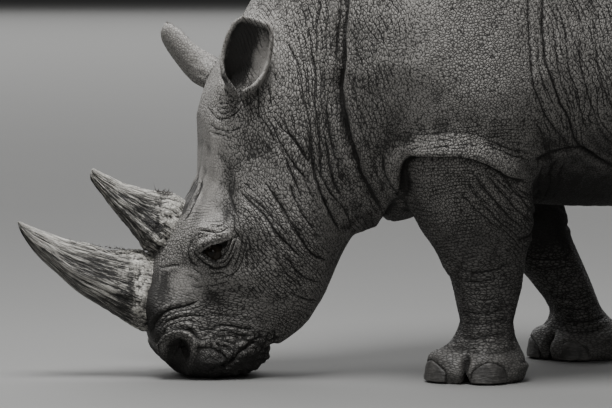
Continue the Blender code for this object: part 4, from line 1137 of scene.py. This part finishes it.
# middle line of the tail's end, and the worn upper edges of the horns with how far fibres spread across
TAIL_END = ((2.224, 0.960), (2.223, 0.880), (2.221, 0.820), (2.220, 0.775))
HORN_EDGES = (
    (((-1.050, 0.362), (-1.000, 0.352), (-0.950, 0.343), (-0.900, 0.337), (-0.855, 0.330)), 0.010),
    (((-0.815, 0.488), (-0.795, 0.486), (-0.775, 0.482)), 0.012),
)
LASHES = 34  # on each upper lid
TUFT_PATCH = 0.003  # size of one bristle's patch on the map


def bristle_shape():
    """One bristle, 1 long and 1 across at its root, with three joints to bend at."""
    obj = added(bpy.ops.mesh.primitive_cone_add, vertices=3, radius1=0.5, radius2=0.06, depth=1,
                location=(0, 0, 0.5))
    bpy.ops.object.transform_apply(location=True, rotation=False, scale=False)
    bm = bmesh.new()
    bm.from_mesh(obj.data)
    for level in (0.25, 0.5, 0.75):
        parts = bm.verts[:] + bm.edges[:] + bm.faces[:]
        bmesh.ops.bisect_plane(bm, geom=parts, plane_co=(0, 0, level), plane_no=(0, 0, 1))
    points = np.array([v.co for v in bm.verts])
    faces = [[v.index for v in face.verts] for face in bm.faces]
    bm.free()
    bpy.data.meshes.remove(obj.data)
    return points, faces


def bristles(name, hairs):
    """One mesh of bent bristles, each a small patch of the map at its root's place on the hide.

    A hair is its root, the way it grows, its bend, its length and its width."""
    shape, faces = bristle_shape()
    points, polygons = [], []
    for n, (root, way, bend, length, width) in enumerate(hairs):
        way = unit(way)
        side = unit(np.cross(way, (0.31, 0.52, 0.79)))
        over = np.cross(way, side)
        up = shape[:, 2:]
        thick = width * (shape[:, :1] * side + shape[:, 1:2] * over)
        points.append(root + thick + length * (up * way + up**2 * bend))
        polygons += [[corner + n * len(shape) for corner in face] for face in faces]
    mesh = bpy.data.meshes.new(name)
    mesh.from_pydata(np.concatenate(points).tolist(), [], polygons)
    obj = bpy.data.objects.new(name, mesh)
    bpy.context.scene.collection.objects.link(obj)
    patch = unwrapped([hair[0] for hair in hairs])
    layer = mesh.uv_layers.new(name="OFBake")
    corners = np.empty(len(mesh.loops), dtype=np.int64)
    mesh.loops.foreach_get("vertex_index", corners)
    own, part = corners // len(shape), corners % len(shape)
    spread = np.stack([shape[part, 0] + 0.5, shape[part, 2]], axis=1) * TUFT_PATCH
    layer.data.foreach_set("uv", (patch[own] + spread).ravel())
    mesh.shade_smooth()
    return obj


def hide_tree():
    """The finished hide, to find places on."""
    hide = bpy.data.objects["hide"].data
    return BVHTree.FromPolygons([v.co for v in hide.vertices], [f.vertices[:] for f in hide.polygons])


def unwrapped(roots):
    """Places on the hide's own map: six charts, one for each way the hide can face."""
    low, high = np.array(CAD_BOUNDS[0]), np.array(CAD_BOUNDS[1])
    tree = hide_tree()
    span = (high - low).max()
    found = []
    for root in roots:
        at, normal, _, _ = tree.find_nearest(Vector(root))
        axis = max(range(3), key=lambda i: abs(normal[i]))
        chart = 2 * axis + (normal[axis] > 0)
        across = [(at[i] - low[i]) / span for i in range(3) if i != axis]
        found.append(((chart % 3 + 0.02 + 0.95 * across[0]) / 3, (chart // 3 + 0.02 + 0.95 * across[1]) / 2))
    return np.array(found)


def ear_fringe(look, chance):
    """Short hairs along the rims, thickest near the tips."""
    hairs = []
    rows = [np.array(row) for row in EAR_RIM]
    for ear in range(len(EARS)):
        base, axis, facing, across = ear_frame(ear)
        for _ in range(look.ear_hairs):
            t = chance.uniform(0, len(rows) - 1) ** 0.8 * (len(rows) - 1) ** 0.2
            along, half_width, depth, reach = spline(rows, min(t, len(rows) - 1 - 1e-6))
            edge = chance.choice((-1, 1))
            turn = math.radians(reach) * edge * (1 - abs(chance.normal(0, 0.03)))
            out = across * math.sin(turn) - facing * math.cos(turn)
            root = base + axis * along + across * half_width * math.sin(turn)
            root = root - facing * depth * math.cos(turn)
            way = unit(axis) * (0.35 + 0.7 * along) + across * edge * 0.8 + 0.35 * facing
            hairs.append((
                root + (FOOT_X, 0, 0) - out * 0.002 + chance.normal(0, 0.002, 3),
                way + chance.normal(0, 0.22, 3),
                chance.normal(0, 0.18, 3) + (0.05, 0, -0.05),
                chance.uniform(0.004, 0.010) * (0.7 + 0.5 * along),
                chance.uniform(0.0007, 0.0010),
            ))
    return bristles("ear_fringe", hairs)


def horn_splinters(look, chance):
    """Loose dark fibres along the worn upper edges of both horns."""
    hairs = []
    for path, spread in HORN_EDGES:
        line = curve_through(path)
        for _ in range(look.splinters):
            at = line[int(chance.integers(0, len(line)))]
            hairs.append((
                (at[0] + chance.normal(0, 0.003) + FOOT_X, chance.normal(0, spread), at[1] - 0.002),
                (chance.normal(-0.3, 0.9), chance.normal(0, 0.3), abs(chance.normal(0.35, 0.25))),
                chance.normal(0, 0.5, 3),
                chance.uniform(0.003, 0.010),
                chance.uniform(0.0014, 0.0034),
            ))
    return bristles("horn_splinters", hairs)


def tail_brush(look, chance):
    """Stiff bristles down the front and back of the tail's flat end."""
    hairs = []
    rows = [np.array(row) for row in TAIL_END]
    for _ in range(look.tail_bristles):
        x, z = spline(rows, chance.uniform(0, len(rows) - 1.001))
        edge = chance.choice((-1, 1))
        hairs.append((
            (x + FOOT_X + edge * 0.010, chance.normal(0, 0.007), z),
            (edge * chance.uniform(0.10, 0.55), chance.normal(0, 0.12), -1),
            np.array((-edge * 0.12, chance.normal(0, 0.05), -0.10)),
            chance.uniform(0.06, 0.125),
            chance.uniform(0.0012, 0.0020),
        ))
    return bristles("tail_brush", hairs)


def lashes(chance):
    """Lashes on the rim of both upper lids."""
    tree = hide_tree()
    hairs = []
    for side in (-1, 1):
        for u in np.linspace(-0.85, 0.75, LASHES):
            along, lift = u * EYE_LONG, 0.010 * (1 - u * u) ** 0.8 + 0.0045
            x = EYE_X + along * math.cos(EYE_SLANT) - lift * math.sin(EYE_SLANT) + FOOT_X
            z = EYE_Z + along * math.sin(EYE_SLANT) + lift * math.cos(EYE_SLANT)
            at = tree.ray_cast(Vector((x, side, z)), Vector((0, -side, 0)))[0]
            hairs.append((
                np.array(at) - (0, side * 0.001, 0),
                np.array((-0.25 + 0.5 * u, side * 1.0, -0.50)) + chance.normal(0, 0.12, 3),
                np.array((0.0, side * 0.05, -0.25)),
                chance.uniform(0.010, 0.018),
                0.0011,
            ))
    return bristles("eyelashes", hairs)


# ---------------------------------------------------------------- materials
class Value:
    """A node's output. Arithmetic on it adds Math nodes."""

    def __init__(self, finish, socket):
        self.finish, self.socket = finish, socket

    def math(self, operation, first, second=0.0):
        return self.finish.node("ShaderNodeMath", {"operation": operation}, {0: first, 1: second})

    def __add__(self, other):
        return self.math("ADD", self, other)

    def __sub__(self, other):
        return self.math("SUBTRACT", self, other)

    def __rsub__(self, other):
        return self.math("SUBTRACT", other, self)

    def __mul__(self, other):
        return self.math("MULTIPLY", self, other)

    def __pow__(self, other):
        return self.math("POWER", self, other)

    __radd__, __rmul__ = __add__, __mul__

    def size(self):
        """The value without its sign."""
        return self.math("ABSOLUTE", self)

    def sine(self):
        return self.math("SINE", self)

    def at_most(self, other):
        return self.math("MINIMUM", self, other)

    def at_least(self, other):
        return self.math("MAXIMUM", self, other)

    def within(self, low, high):
        """0 below low and 1 above high, or the other way round, with a smooth change between."""
        settings = {"interpolation_type": "SMOOTHSTEP"}
        ends = {"Value": self, "From Min": low, "From Max": high} if low < high else {
            "Value": self, "From Min": high, "From Max": low, "To Min": 1.0, "To Max": 0.0}
        return self.finish.node("ShaderNodeMapRange", settings, ends)


class Finish:
    """A material with one Principled shader."""

    def __init__(self, name):
        self.material = bpy.data.materials.new(name)
        self.material.use_nodes = True
        self.nodes, self.links = self.material.node_tree.nodes, self.material.node_tree.links
        self.shader = self.nodes["Principled BSDF"]
        self.place = self.node("ShaderNodeTexCoord", output="Object")

    def node(self, kind, settings=None, values=None, output=0):
        made = self.nodes.new(kind)
        for name, value in (settings or {}).items():
            setattr(made, name, value)
        self.fill(made, values or {})
        return Value(self, made.outputs[output])

    def fill(self, node, values):
        for name, value in values.items():
            if isinstance(value, Value):
                self.links.new(value.socket, node.inputs[name])
            else:
                node.inputs[name].default_value = value

    def attribute(self, name, output="Fac"):
        return self.node("ShaderNodeAttribute", {"attribute_name": name}, output=output)

    def parts(self, vector):
        """The three numbers of a vector."""
        split = self.node("ShaderNodeSeparateXYZ", values={0: vector})
        return [Value(self, socket) for socket in split.socket.node.outputs]

    def noise(self, size, place=None, detail=3.0, roughness=0.55):
        """From 0 to 1, in patches about `size` across."""
        values = {"Vector": place or self.place, "Scale": 1 / size, "Detail": detail, "Roughness": roughness}
        return self.node("ShaderNodeTexNoise", values=values, output="Fac")

    def stretched(self, factors, place=None):
        values = {0: place or self.place, 1: factors}
        return self.node("ShaderNodeVectorMath", {"operation": "MULTIPLY"}, values)

    def stirred(self, place, size, amount):
        """A place pushed about by noise."""
        values = {"Vector": place, "Scale": 1 / size, "Detail": 2.0}
        push = self.node("ShaderNodeTexNoise", values=values, output="Color")
        push = self.node("ShaderNodeVectorMath", {"operation": "SUBTRACT"}, {0: push, 1: (0.5, 0.5, 0.5)})
        push = self.node("ShaderNodeVectorMath", {"operation": "SCALE"}, {0: push, "Scale": amount})
        return self.node("ShaderNodeVectorMath", {"operation": "ADD"}, {0: place, 1: push})

    def cells(self, size, place):
        """0 in the cracks between cells about `size` across, and up to about 1 at their middles."""
        values = {"Vector": place, "Scale": 1 / size, "Randomness": 1.0}
        return self.node("ShaderNodeTexVoronoi", {"feature": "DISTANCE_TO_EDGE"}, values, "Distance") * 2.2

    def mix(self, share, first, second):
        settings = {"data_type": "RGBA"}
        return self.node("ShaderNodeMix", settings, {0: share, 6: first, 7: second}, 2)

    def bump(self, height, distance):
        return self.node("ShaderNodeBump", values={"Height": height, "Distance": distance, "Strength": 1.0})

    def made(self, **inputs):
        self.fill(self.shader, {name.replace("_", " "): value for name, value in inputs.items()})
        return self.material


def grey(value, warmth):
    return (value * (1 + warmth), value, value * (1 - warmth), 1.0)


def opaque(colour):
    return (*colour, 1.0)


PEBBLE = 0.0072  # size of the grain's cells
# how the cells are stretched along x, y and z where the grain is plain, upright, slanted and level
PLAIN, UPRIGHT, SLANTED, LEVEL = (1, 1, 0.95), (1.1, 1.1, 0.62), (1.1, 1.0, 0.58), (0.58, 0.58, 1.15)
SLANT = 0.78  # how far the slanted grain is turned, in radians
HORN_RELIEF, NAIL_RELIEF = 0.0034, 0.0015  # heights of the fibres that are bump


def hide_finish(look):
    finish = Finish("dusty_hide")
    crease, hollow, pit, dark, pale, shade, bare, smooth, upright, slanted, level = (
        finish.attribute(name) for name in ("crease", "hollow", "pit", *MARKS))
    stirred = finish.stirred(finish.place, 0.020, 0.007)
    turned = finish.node("ShaderNodeVectorRotate", {"rotation_type": "Y_AXIS"},
                         {"Vector": stirred, "Angle": SLANT})
    pebbles = finish.cells(PEBBLE, finish.stretched(PLAIN, stirred))
    for factors, place, share in (
        (UPRIGHT, stirred, upright), (SLANTED, turned, slanted), (LEVEL, stirred, level),
    ):
        pebbles = pebbles * (1 - share) + finish.cells(PEBBLE, finish.stretched(factors, place)) * share
    pebbles = pebbles.at_most(1.0)
    gutters = pebbles.within(0.36, 0.04)
    domes = pebbles**0.55

    jitter = finish.noise(0.007, detail=1.0) - 0.5
    groove = 0.0
    gaps = finish.parts(finish.attribute("groove_gap", "Vector"))
    shares = finish.parts(finish.attribute("groove_share", "Vector"))
    for gap, share in zip(gaps, shares):
        groove = groove + (gap + 0.9 * jitter).size().within(1.7, 0.3) * share
    wave = ((finish.attribute("line_phase") + 0.35 * jitter) * math.pi).sine().size()
    broken = finish.noise(0.045, detail=2.0).within(0.36, 0.56)
    furrow = wave.within(0.42, 0.05) * finish.attribute("line_share") * broken

    grain = finish.noise(0.0030, detail=2.0)
    lined = finish.noise(0.006, finish.stretched((0.35, 0.35, 1.6), stirred), detail=3.0)
    rough = 1 - 0.75 * smooth
    height = domes * rough - 1.2 * furrow - 1.3 * groove + 0.25 * grain + 0.45 * lined * smooth

    dust = finish.noise(0.45, detail=3.0) + 0.7 * finish.noise(0.06, detail=5.0)
    # The pale marks add painted light and the dark marks painted shade, along with dust and the hide's own
    # darker skin.
    tone = 0.56 + 0.36 * (dust - 0.85) + 0.50 * pale - 0.46 * dark + 0.18 * (grain - 0.5)
    tone = (tone + 0.30 * (lined - 0.5) * smooth).at_least(0.0).at_most(1.0)
    colour = finish.mix(tone, opaque(look.hide_dark), opaque(look.hide_light))
    # Painted highlight: the tops of the pebbles and of convex ridges are mixed towards the pale colour.
    tops = 0.33 * pebbles.within(0.40, 0.95) * rough * (1 - 0.55 * dark)
    tops = tops - 0.35 * crease.at_most(0.0) * (1 - 0.6 * dark)
    colour = finish.mix(tops.at_most(0.45), colour, opaque(look.hide_light))
    # Painted shade: the cracks between pebbles, the fine lines and folds, the creases, hollows, pits and
    # shade marks are mixed towards the dark colour, which also stands for dirt in them; the left ear's inner
    # wall is kept clear of it as painted light.
    soil_and_shade = 0.95 * gutters * rough + 0.95 * furrow + groove
    soil_and_shade = soil_and_shade + 0.8 * crease.at_least(0.0) + 0.16 * hollow.at_least(0.0)
    soil_and_shade = soil_and_shade * (1 - 0.9 * bare) + pit + shade
    colour = finish.mix(soil_and_shade.at_most(0.96), colour, opaque(look.hide_soil_and_shade))
    gloss = 0.58 + 0.20 * finish.noise(0.05) - 0.10 * smooth - 0.12 * domes + 0.20 * soil_and_shade.at_most(1.0)
    return finish.made(Base_Color=colour, Roughness=gloss, Specular_IOR_Level=0.5,
                       Normal=finish.bump(height, look.pebble_depth))


def horn_finish(name, look, frayed_from, crust_from):
    """Fibres along the horn; its top edge is dark and frayed, and its base crusted, behind the given x."""
    finish = Finish(name)
    frayed_from, crust_from = frayed_from + FOOT_X, crust_from + FOOT_X
    along, turn_x, turn_y, crease, patch = (
        finish.attribute(name) for name in ("along", "turn_x", "turn_y", "crease", "patch"))
    round_ = finish.node("ShaderNodeCombineXYZ", values={"X": along * 0.55, "Y": turn_x, "Z": turn_y})
    round_ = finish.stirred(round_, 0.25, 0.05)
    fibre = finish.noise(0.022, round_, detail=4.0, roughness=0.65)
    streak = finish.noise(0.13, round_, detail=5.0, roughness=0.7)
    strands = finish.noise(0.050, round_, detail=2.0)
    x = finish.parts(finish.place)[0]
    collar = x.within(crust_from - 0.012, crust_from + 0.004)
    crust = finish.cells(0.012, finish.stirred(finish.place, 0.02, 0.012)).at_most(1.0)
    patches = finish.noise(0.030, detail=5.0, roughness=0.65)
    near_base = x.within(crust_from - 0.13, crust_from)
    splinters = turn_x.within(0.55, 0.85) * x.within(frayed_from, frayed_from + 0.03)
    splinters = splinters * streak.within(0.38, 0.55)
    cracks = streak.within(0.48, 0.38) * 0.90 + strands.within(0.46, 0.36) * 0.65
    broad = finish.noise(0.30, round_, detail=2.0)
    tone = 0.50 + 3.6 * (streak - 0.5) + 3.6 * (fibre - 0.5) + 1.8 * (broad - 0.5)
    # Painted light and shade: the upper side of the horn is lighter and its underside darker.
    tone = tone + 0.5 * turn_x.within(0.66, 0.90) - 0.35 * turn_x.within(-0.30, -0.90)
    tone = tone - 0.55 * splinters + 0.65 * patch
    tone = tone + near_base * (1.6 * (patches - 0.52)) + 0.35 * collar
    colour = finish.mix(tone.at_least(0.0).at_most(1.0), opaque(look.horn_dark), opaque(look.horn_light))
    # The horn's creases get painted shade; the cracks between fibres and in the crust are darkened with the
    # same colour.
    soil_and_shade = 0.85 * crease.at_least(0.0) + cracks * (1 - 0.7 * collar)
    soil_and_shade = soil_and_shade + 0.5 * near_base * crust.within(0.18, 0.0)
    colour = finish.mix(soil_and_shade.at_most(0.93), colour, opaque(look.hide_soil_and_shade))
    height = fibre + 0.8 * streak + 0.5 * patches * near_base - 0.7 * cracks
    height = height - 0.5 * crust.within(0.2, 0.0) * near_base
    gloss = 0.42 + 0.25 * near_base + 0.3 * (streak - 0.5)
    return finish.made(Base_Color=colour, Roughness=gloss, Normal=finish.bump(height, HORN_RELIEF))


def nail_finish(look):
    finish = Finish("toenail_horn")
    lines = finish.noise(0.004, finish.stretched((0.25, 0.25, 1.4)), detail=3.0)
    patches = finish.noise(0.03, detail=4.0)
    height = finish.parts(finish.place)[2]
    tone = 0.02 + 0.6 * (lines - 0.5) + 0.8 * (patches - 0.5) + 0.25 * height.within(0.020, 0.004)
    tone = tone.at_least(0.0).at_most(1.0)
    colour = finish.mix(tone, opaque(look.hide_dark), opaque(look.hide_light))
    return finish.made(Base_Color=colour, Roughness=0.45 + 0.3 * patches,
                       Normal=finish.bump(lines + patches, NAIL_RELIEF))


def eye_finish():
    finish = Finish("wet_eye")
    ahead, pupil = finish.attribute("ahead"), finish.attribute("pupil")
    iris = ahead.within(29.0, 27.0)
    rays = finish.noise(0.0012, finish.stretched((1, 0.3, 1)), detail=2.0)
    colour = finish.mix(iris, grey(0.016, 0.25), grey(0.005, 0.45))
    colour = finish.mix(iris * rays.within(0.45, 0.70) * 0.5, colour, grey(0.010, 0.5))
    colour = finish.mix(pupil.within(1.05, 0.95), colour, grey(0.002, 0.0))
    return finish.made(Base_Color=colour, Roughness=0.12 + 0.10 * ahead.within(26.0, 40.0),
                       Specular_IOR_Level=0.22)


def bristle_finish(name, darkest, palest):
    finish = Finish(name)
    tone = finish.noise(0.006, detail=1.0)
    colour = finish.mix(tone, grey(darkest, 0.10), grey(palest, 0.10))
    return finish.made(Base_Color=colour, Roughness=0.45 + 0.1 * tone)


def wear(obj, material, slot, *nodes):
    """Gives a finished piece its material and body, and hides the solids it stands for."""
    obj.data.materials.clear()
    obj.data.materials.append(material)
    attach(obj, BODY)
    if nodes:
        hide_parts(*nodes)


# ---------------------------------------------------------------- settings and operators
def colour_setting(name, description, value):
    return FloatVectorProperty(name=name, description=description, default=value, min=0.0, max=1.0, size=3,
                               subtype="COLOR")


def depth_setting(name, description):
    return FloatProperty(name=name, description=description, default=1.0, min=0.0, max=2.0, subtype="FACTOR")


def count_setting(name, description, value, most):
    return IntProperty(name=name, description=description, default=value, min=1, max=most)


def power_setting(name, description, value):
    return FloatProperty(name=name, description=description, default=value, min=0.0, subtype="POWER",
                         unit="POWER")


class RhinoSettings(PropertyGroup):
    fold_depth: depth_setting("Fold depth", "Depth of the large folds, 1 as modelled")
    wrinkle_depth: depth_setting("Wrinkle depth", "Depth of the small folds, 1 as modelled")
    pebble_depth: FloatProperty(name="Pebble depth", description="Relief of the hide's pebbled grain",
                                default=0.0019, min=0.0, max=0.01, subtype="DISTANCE", unit="LENGTH",
                                precision=4)
    # The pale colour is also the painted light of the pale marks and the painted highlights on the tops of
    # pebbles and ridges.
    hide_light: colour_setting("Pale hide", "Dust on the forehead, back and tops of folds",
                               (0.300, 0.288, 0.270))
    # The dark colour also carries the painted shade of the dark marks on the lower body.
    hide_dark: colour_setting("Dark hide", "Bare hide on the muzzle, legs and belly", (0.034, 0.032, 0.030))
    # Painted shade as well as dirt: this colour darkens the creases, hollows, pits, openings, clefts and
    # shade marks.
    hide_soil_and_shade: colour_setting("Soil in creases", "Dirt that lies in the creases", (0.009, 0.008, 0.007))
    horn_light: colour_setting("Pale horn", "Dry crust and worn fibres", (0.60, 0.58, 0.53))
    horn_dark: colour_setting("Dark horn", "Dense horn and dirty fibres", (0.020, 0.018, 0.016))
    ear_hairs: count_setting("Ear hairs", "Hairs along each ear's rim", 240, 4000)
    tail_bristles: count_setting("Tail bristles", "Bristles of the tail's end", 260, 2000)
    splinters: count_setting("Horn splinters", "Loose fibres on each horn's upper edge", 110, 2000)
    floor_colour: colour_setting("Floor", "Colour of the studio floor", (0.165, 0.165, 0.161))
    key_power: power_setting("Key light", "Power of the large light overhead", 465.0)
    back_power: power_setting("Back light", "Power of the light over the floor behind", 65000.0)
    fill_power: power_setting("Fill light", "Power of the light in front", 72.0)


# Places on either side where the mesh is split finer, with the reach of each; at the eye it is split twice
FINE_PLACES = (
    ((EYE_X, EYE_Y, EYE_Z - 0.01), 0.085),
    ((-0.784, 0.088, 0.130), 0.070),
    ((-0.600, 0.11, 0.060), 0.075),
    ((EYE_X, EYE_Y, EYE_Z - 0.01), 0.052),
)
FACE_STRENGTH, NECK_STRENGTH = 0.65, 0.70  # shares of the folds' depths in their tables
FEWEST_POINTS = 1000  # fewer than this and the solids were not joined


class RHINO_OT_hide(Operator):
    """Models the one hide over the trunk, neck, head, ears, legs, feet and tail"""

    bl_idname = "rhino.hide"
    bl_label = "Hide"

    def execute(self, context):
        look = context.scene.rhino
        obj = joined_flesh()
        if len(obj.data.vertices) < FEWEST_POINTS:
            raise RuntimeError("the solids of flesh gave no skin")
        settle(Hide(obj))
        for middle, reach in FINE_PLACES:
            split_near(obj, middle, reach)
        hide = Hide(obj)
        add_forms(hide)
        add_sleeve(hide)
        add_wrinkles(hide, look.wrinkle_depth)
        carve_eyes(hide)
        carve_nostrils(hide)
        add_cobbles(hide)
        shade_ears(hide)
        add_folds(hide, FACE_FOLDS, FACE, FACE_STRENGTH * look.fold_depth, inner=-0.05)
        add_folds(hide, NECK_FOLDS, NECK, NECK_STRENGTH * look.fold_depth, inner=-0.03)
        add_folds(hide, SHOULDER_FOLDS, SHOULDER, look.fold_depth, stance=True)
        add_folds(hide, REAR_FOLDS, FLANK, look.fold_depth, stance=True)
        carve_toes(hide)
        hide.keep_marks()
        thinned(obj, HIDE_TRIANGLES)
        obj.data.shade_smooth()
        mark_hide(obj)
        wear(obj, hide_finish(look), "hide", *FLESH)
        return {"FINISHED"}


class RHINO_OT_horns(Operator):
    """Models the front and rear horns with their worn fibres and crusted bases"""

    bl_idname = "rhino.horns"
    bl_label = "Horns"

    def execute(self, context):
        look = context.scene.rhino
        for node, name, stations, wear_of, patches, frayed_from, crust_from in (
            ("horn_front", "front_horn", FRONT_HORN, front_wear, FRONT_PATCHES, -1.06, -0.885),
            ("horn_rear", "rear_horn", REAR_HORN, rear_wear, REAR_PATCHES, -0.82, -0.795),
        ):
            obj = horn(name, stations, wear_of)
            mark_horn(obj, patches)
            wear(obj, horn_finish(node + "_fibre", look, frayed_from, crust_from), "horn", node)
        return {"FINISHED"}


class RHINO_OT_eyes(Operator):
    """Models the two wet eyes"""

    bl_idname = "rhino.eyes"
    bl_label = "Eyes"

    def execute(self, context):
        finish = eye_finish()
        for name in EYES:
            wear(eyeball(name), finish, "eye", name)
        return {"FINISHED"}


class RHINO_OT_nails(Operator):
    """Models the three toenails of each foot"""

    bl_idname = "rhino.nails"
    bl_label = "Toenails"

    def execute(self, context):
        finish = nail_finish(context.scene.rhino)
        for name in sorted(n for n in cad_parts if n.startswith("nail_")):
            wear(nail_piece(name), finish, "nail", name)
        return {"FINISHED"}


class RHINO_OT_bristles(Operator):
    """Models the ears' fringes, the eyelashes, the tail's brush and the horns' splinters"""

    bl_idname = "rhino.bristles"
    bl_label = "Bristles"

    def execute(self, context):
        look = context.scene.rhino
        chance = np.random.default_rng(7)
        finish = bristle_finish("dark_bristle", 0.018, 0.085)
        wear(ear_fringe(look, chance), bristle_finish("pale_bristle", 0.05, 0.25), "hide")
        for obj in (tail_brush(look, chance), lashes(chance), horn_splinters(look, chance)):
            wear(obj, finish, "hide")
        return {"FINISHED"}


FLOOR_SIZE, FLOOR_Z = 400.0, -0.0005
WORLD_COLOUR, WORLD_STRENGTH = (0.55, 0.55, 0.55, 1.0), 0.12
LIGHTS = (  # name, place and size
    ("key", (-1.6, -1.3, 5.2), 2.4),
    ("fill", (-2.6, -6.0, 2.4), 4.0),
    ("back", (0.0, 58.0, 30.0), 100.0),
)
LIGHT_TARGET = (-0.6, 0.0, 0.7)  # of the key and the fill; the back light shines straight down
CAMERA_TARGET, CAMERA_DISTANCE, CAMERA_LENS = (-0.415, 0.0, 0.449), 9.0, 199.8
CAMERA_AZIMUTH, CAMERA_ELEVATION = -10.0, 3.738


class RHINO_OT_stage(Operator):
    """Sets the floor, the soft studio lights and the camera"""

    bl_idname = "rhino.stage"
    bl_label = "Stage"

    def execute(self, context):
        look = context.scene.rhino
        floor = added(bpy.ops.mesh.primitive_plane_add, size=FLOOR_SIZE, location=(0, 0, FLOOR_Z))
        floor.name = "studio_floor"
        finish = Finish("studio_floor")
        tone = finish.noise(1.5, detail=2.0)
        colour = finish.mix(tone, opaque(c * 0.96 for c in look.floor_colour), opaque(look.floor_colour))
        floor.data.materials.append(finish.made(Base_Color=colour, Roughness=0.9))
        world = bpy.data.worlds.new("studio")
        context.scene.world = world
        world.use_nodes = True
        background = world.node_tree.nodes["Background"].inputs
        background["Color"].default_value, background["Strength"].default_value = WORLD_COLOUR, WORLD_STRENGTH
        for name, place, size in LIGHTS:
            lamp = added(bpy.ops.object.light_add, type="AREA", location=place)
            lamp.name = name
            lamp.data.shape, lamp.data.size, lamp.data.energy = "DISK", size, getattr(look, name + "_power")
            aim = Vector((0, 0, -1)) if name == "back" else Vector(LIGHT_TARGET) - Vector(place)
            lamp.rotation_euler = aim.to_track_quat("-Z", "Y").to_euler()
            lamp.visible_camera = False
        camera = bpy.data.objects.new("camera", bpy.data.cameras.new("camera"))
        context.scene.collection.objects.link(camera)
        turn, rise = math.radians(CAMERA_AZIMUTH), math.radians(CAMERA_ELEVATION)
        back = Vector((math.sin(turn) * math.cos(rise), -math.cos(turn) * math.cos(rise), math.sin(rise)))
        camera.location = Vector(CAMERA_TARGET) + Vector((FOOT_X, 0, 0)) + back * CAMERA_DISTANCE
        camera.rotation_euler = (-back).to_track_quat("-Z", "Y").to_euler()
        camera.data.lens = CAMERA_LENS
        camera.data.clip_end = FLOOR_SIZE
        context.scene.camera = camera
        return {"FINISHED"}


class RHINO_PT_panel(Panel):
    """Settings of the rhinoceros, and a button for each group of pieces"""

    bl_idname = "RHINO_PT_panel"
    bl_label = "White Rhinoceros"
    bl_space_type = "VIEW_3D"
    bl_region_type = "UI"
    bl_category = "Rhinoceros"

    def draw(self, context):
        for name in RhinoSettings.__annotations__:
            self.layout.prop(context.scene.rhino, name)
        for operator in OPERATORS:
            self.layout.operator(operator.bl_idname)


OPERATORS = (RHINO_OT_hide, RHINO_OT_horns, RHINO_OT_eyes, RHINO_OT_nails, RHINO_OT_bristles, RHINO_OT_stage)


def register():
    for kind in (RhinoSettings, *OPERATORS, RHINO_PT_panel):
        bpy.utils.register_class(kind)
    bpy.types.Scene.rhino = PointerProperty(type=RhinoSettings)


def unregister():
    del bpy.types.Scene.rhino
    for kind in (RHINO_PT_panel, *reversed(OPERATORS), RhinoSettings):
        bpy.utils.unregister_class(kind)


def main():
    register()
    bpy.ops.rhino.hide()
    bpy.ops.rhino.horns()
    bpy.ops.rhino.eyes()
    bpy.ops.rhino.nails()
    bpy.ops.rhino.bristles()
    bpy.ops.rhino.stage()


if __name__ == "__main__":
    main()
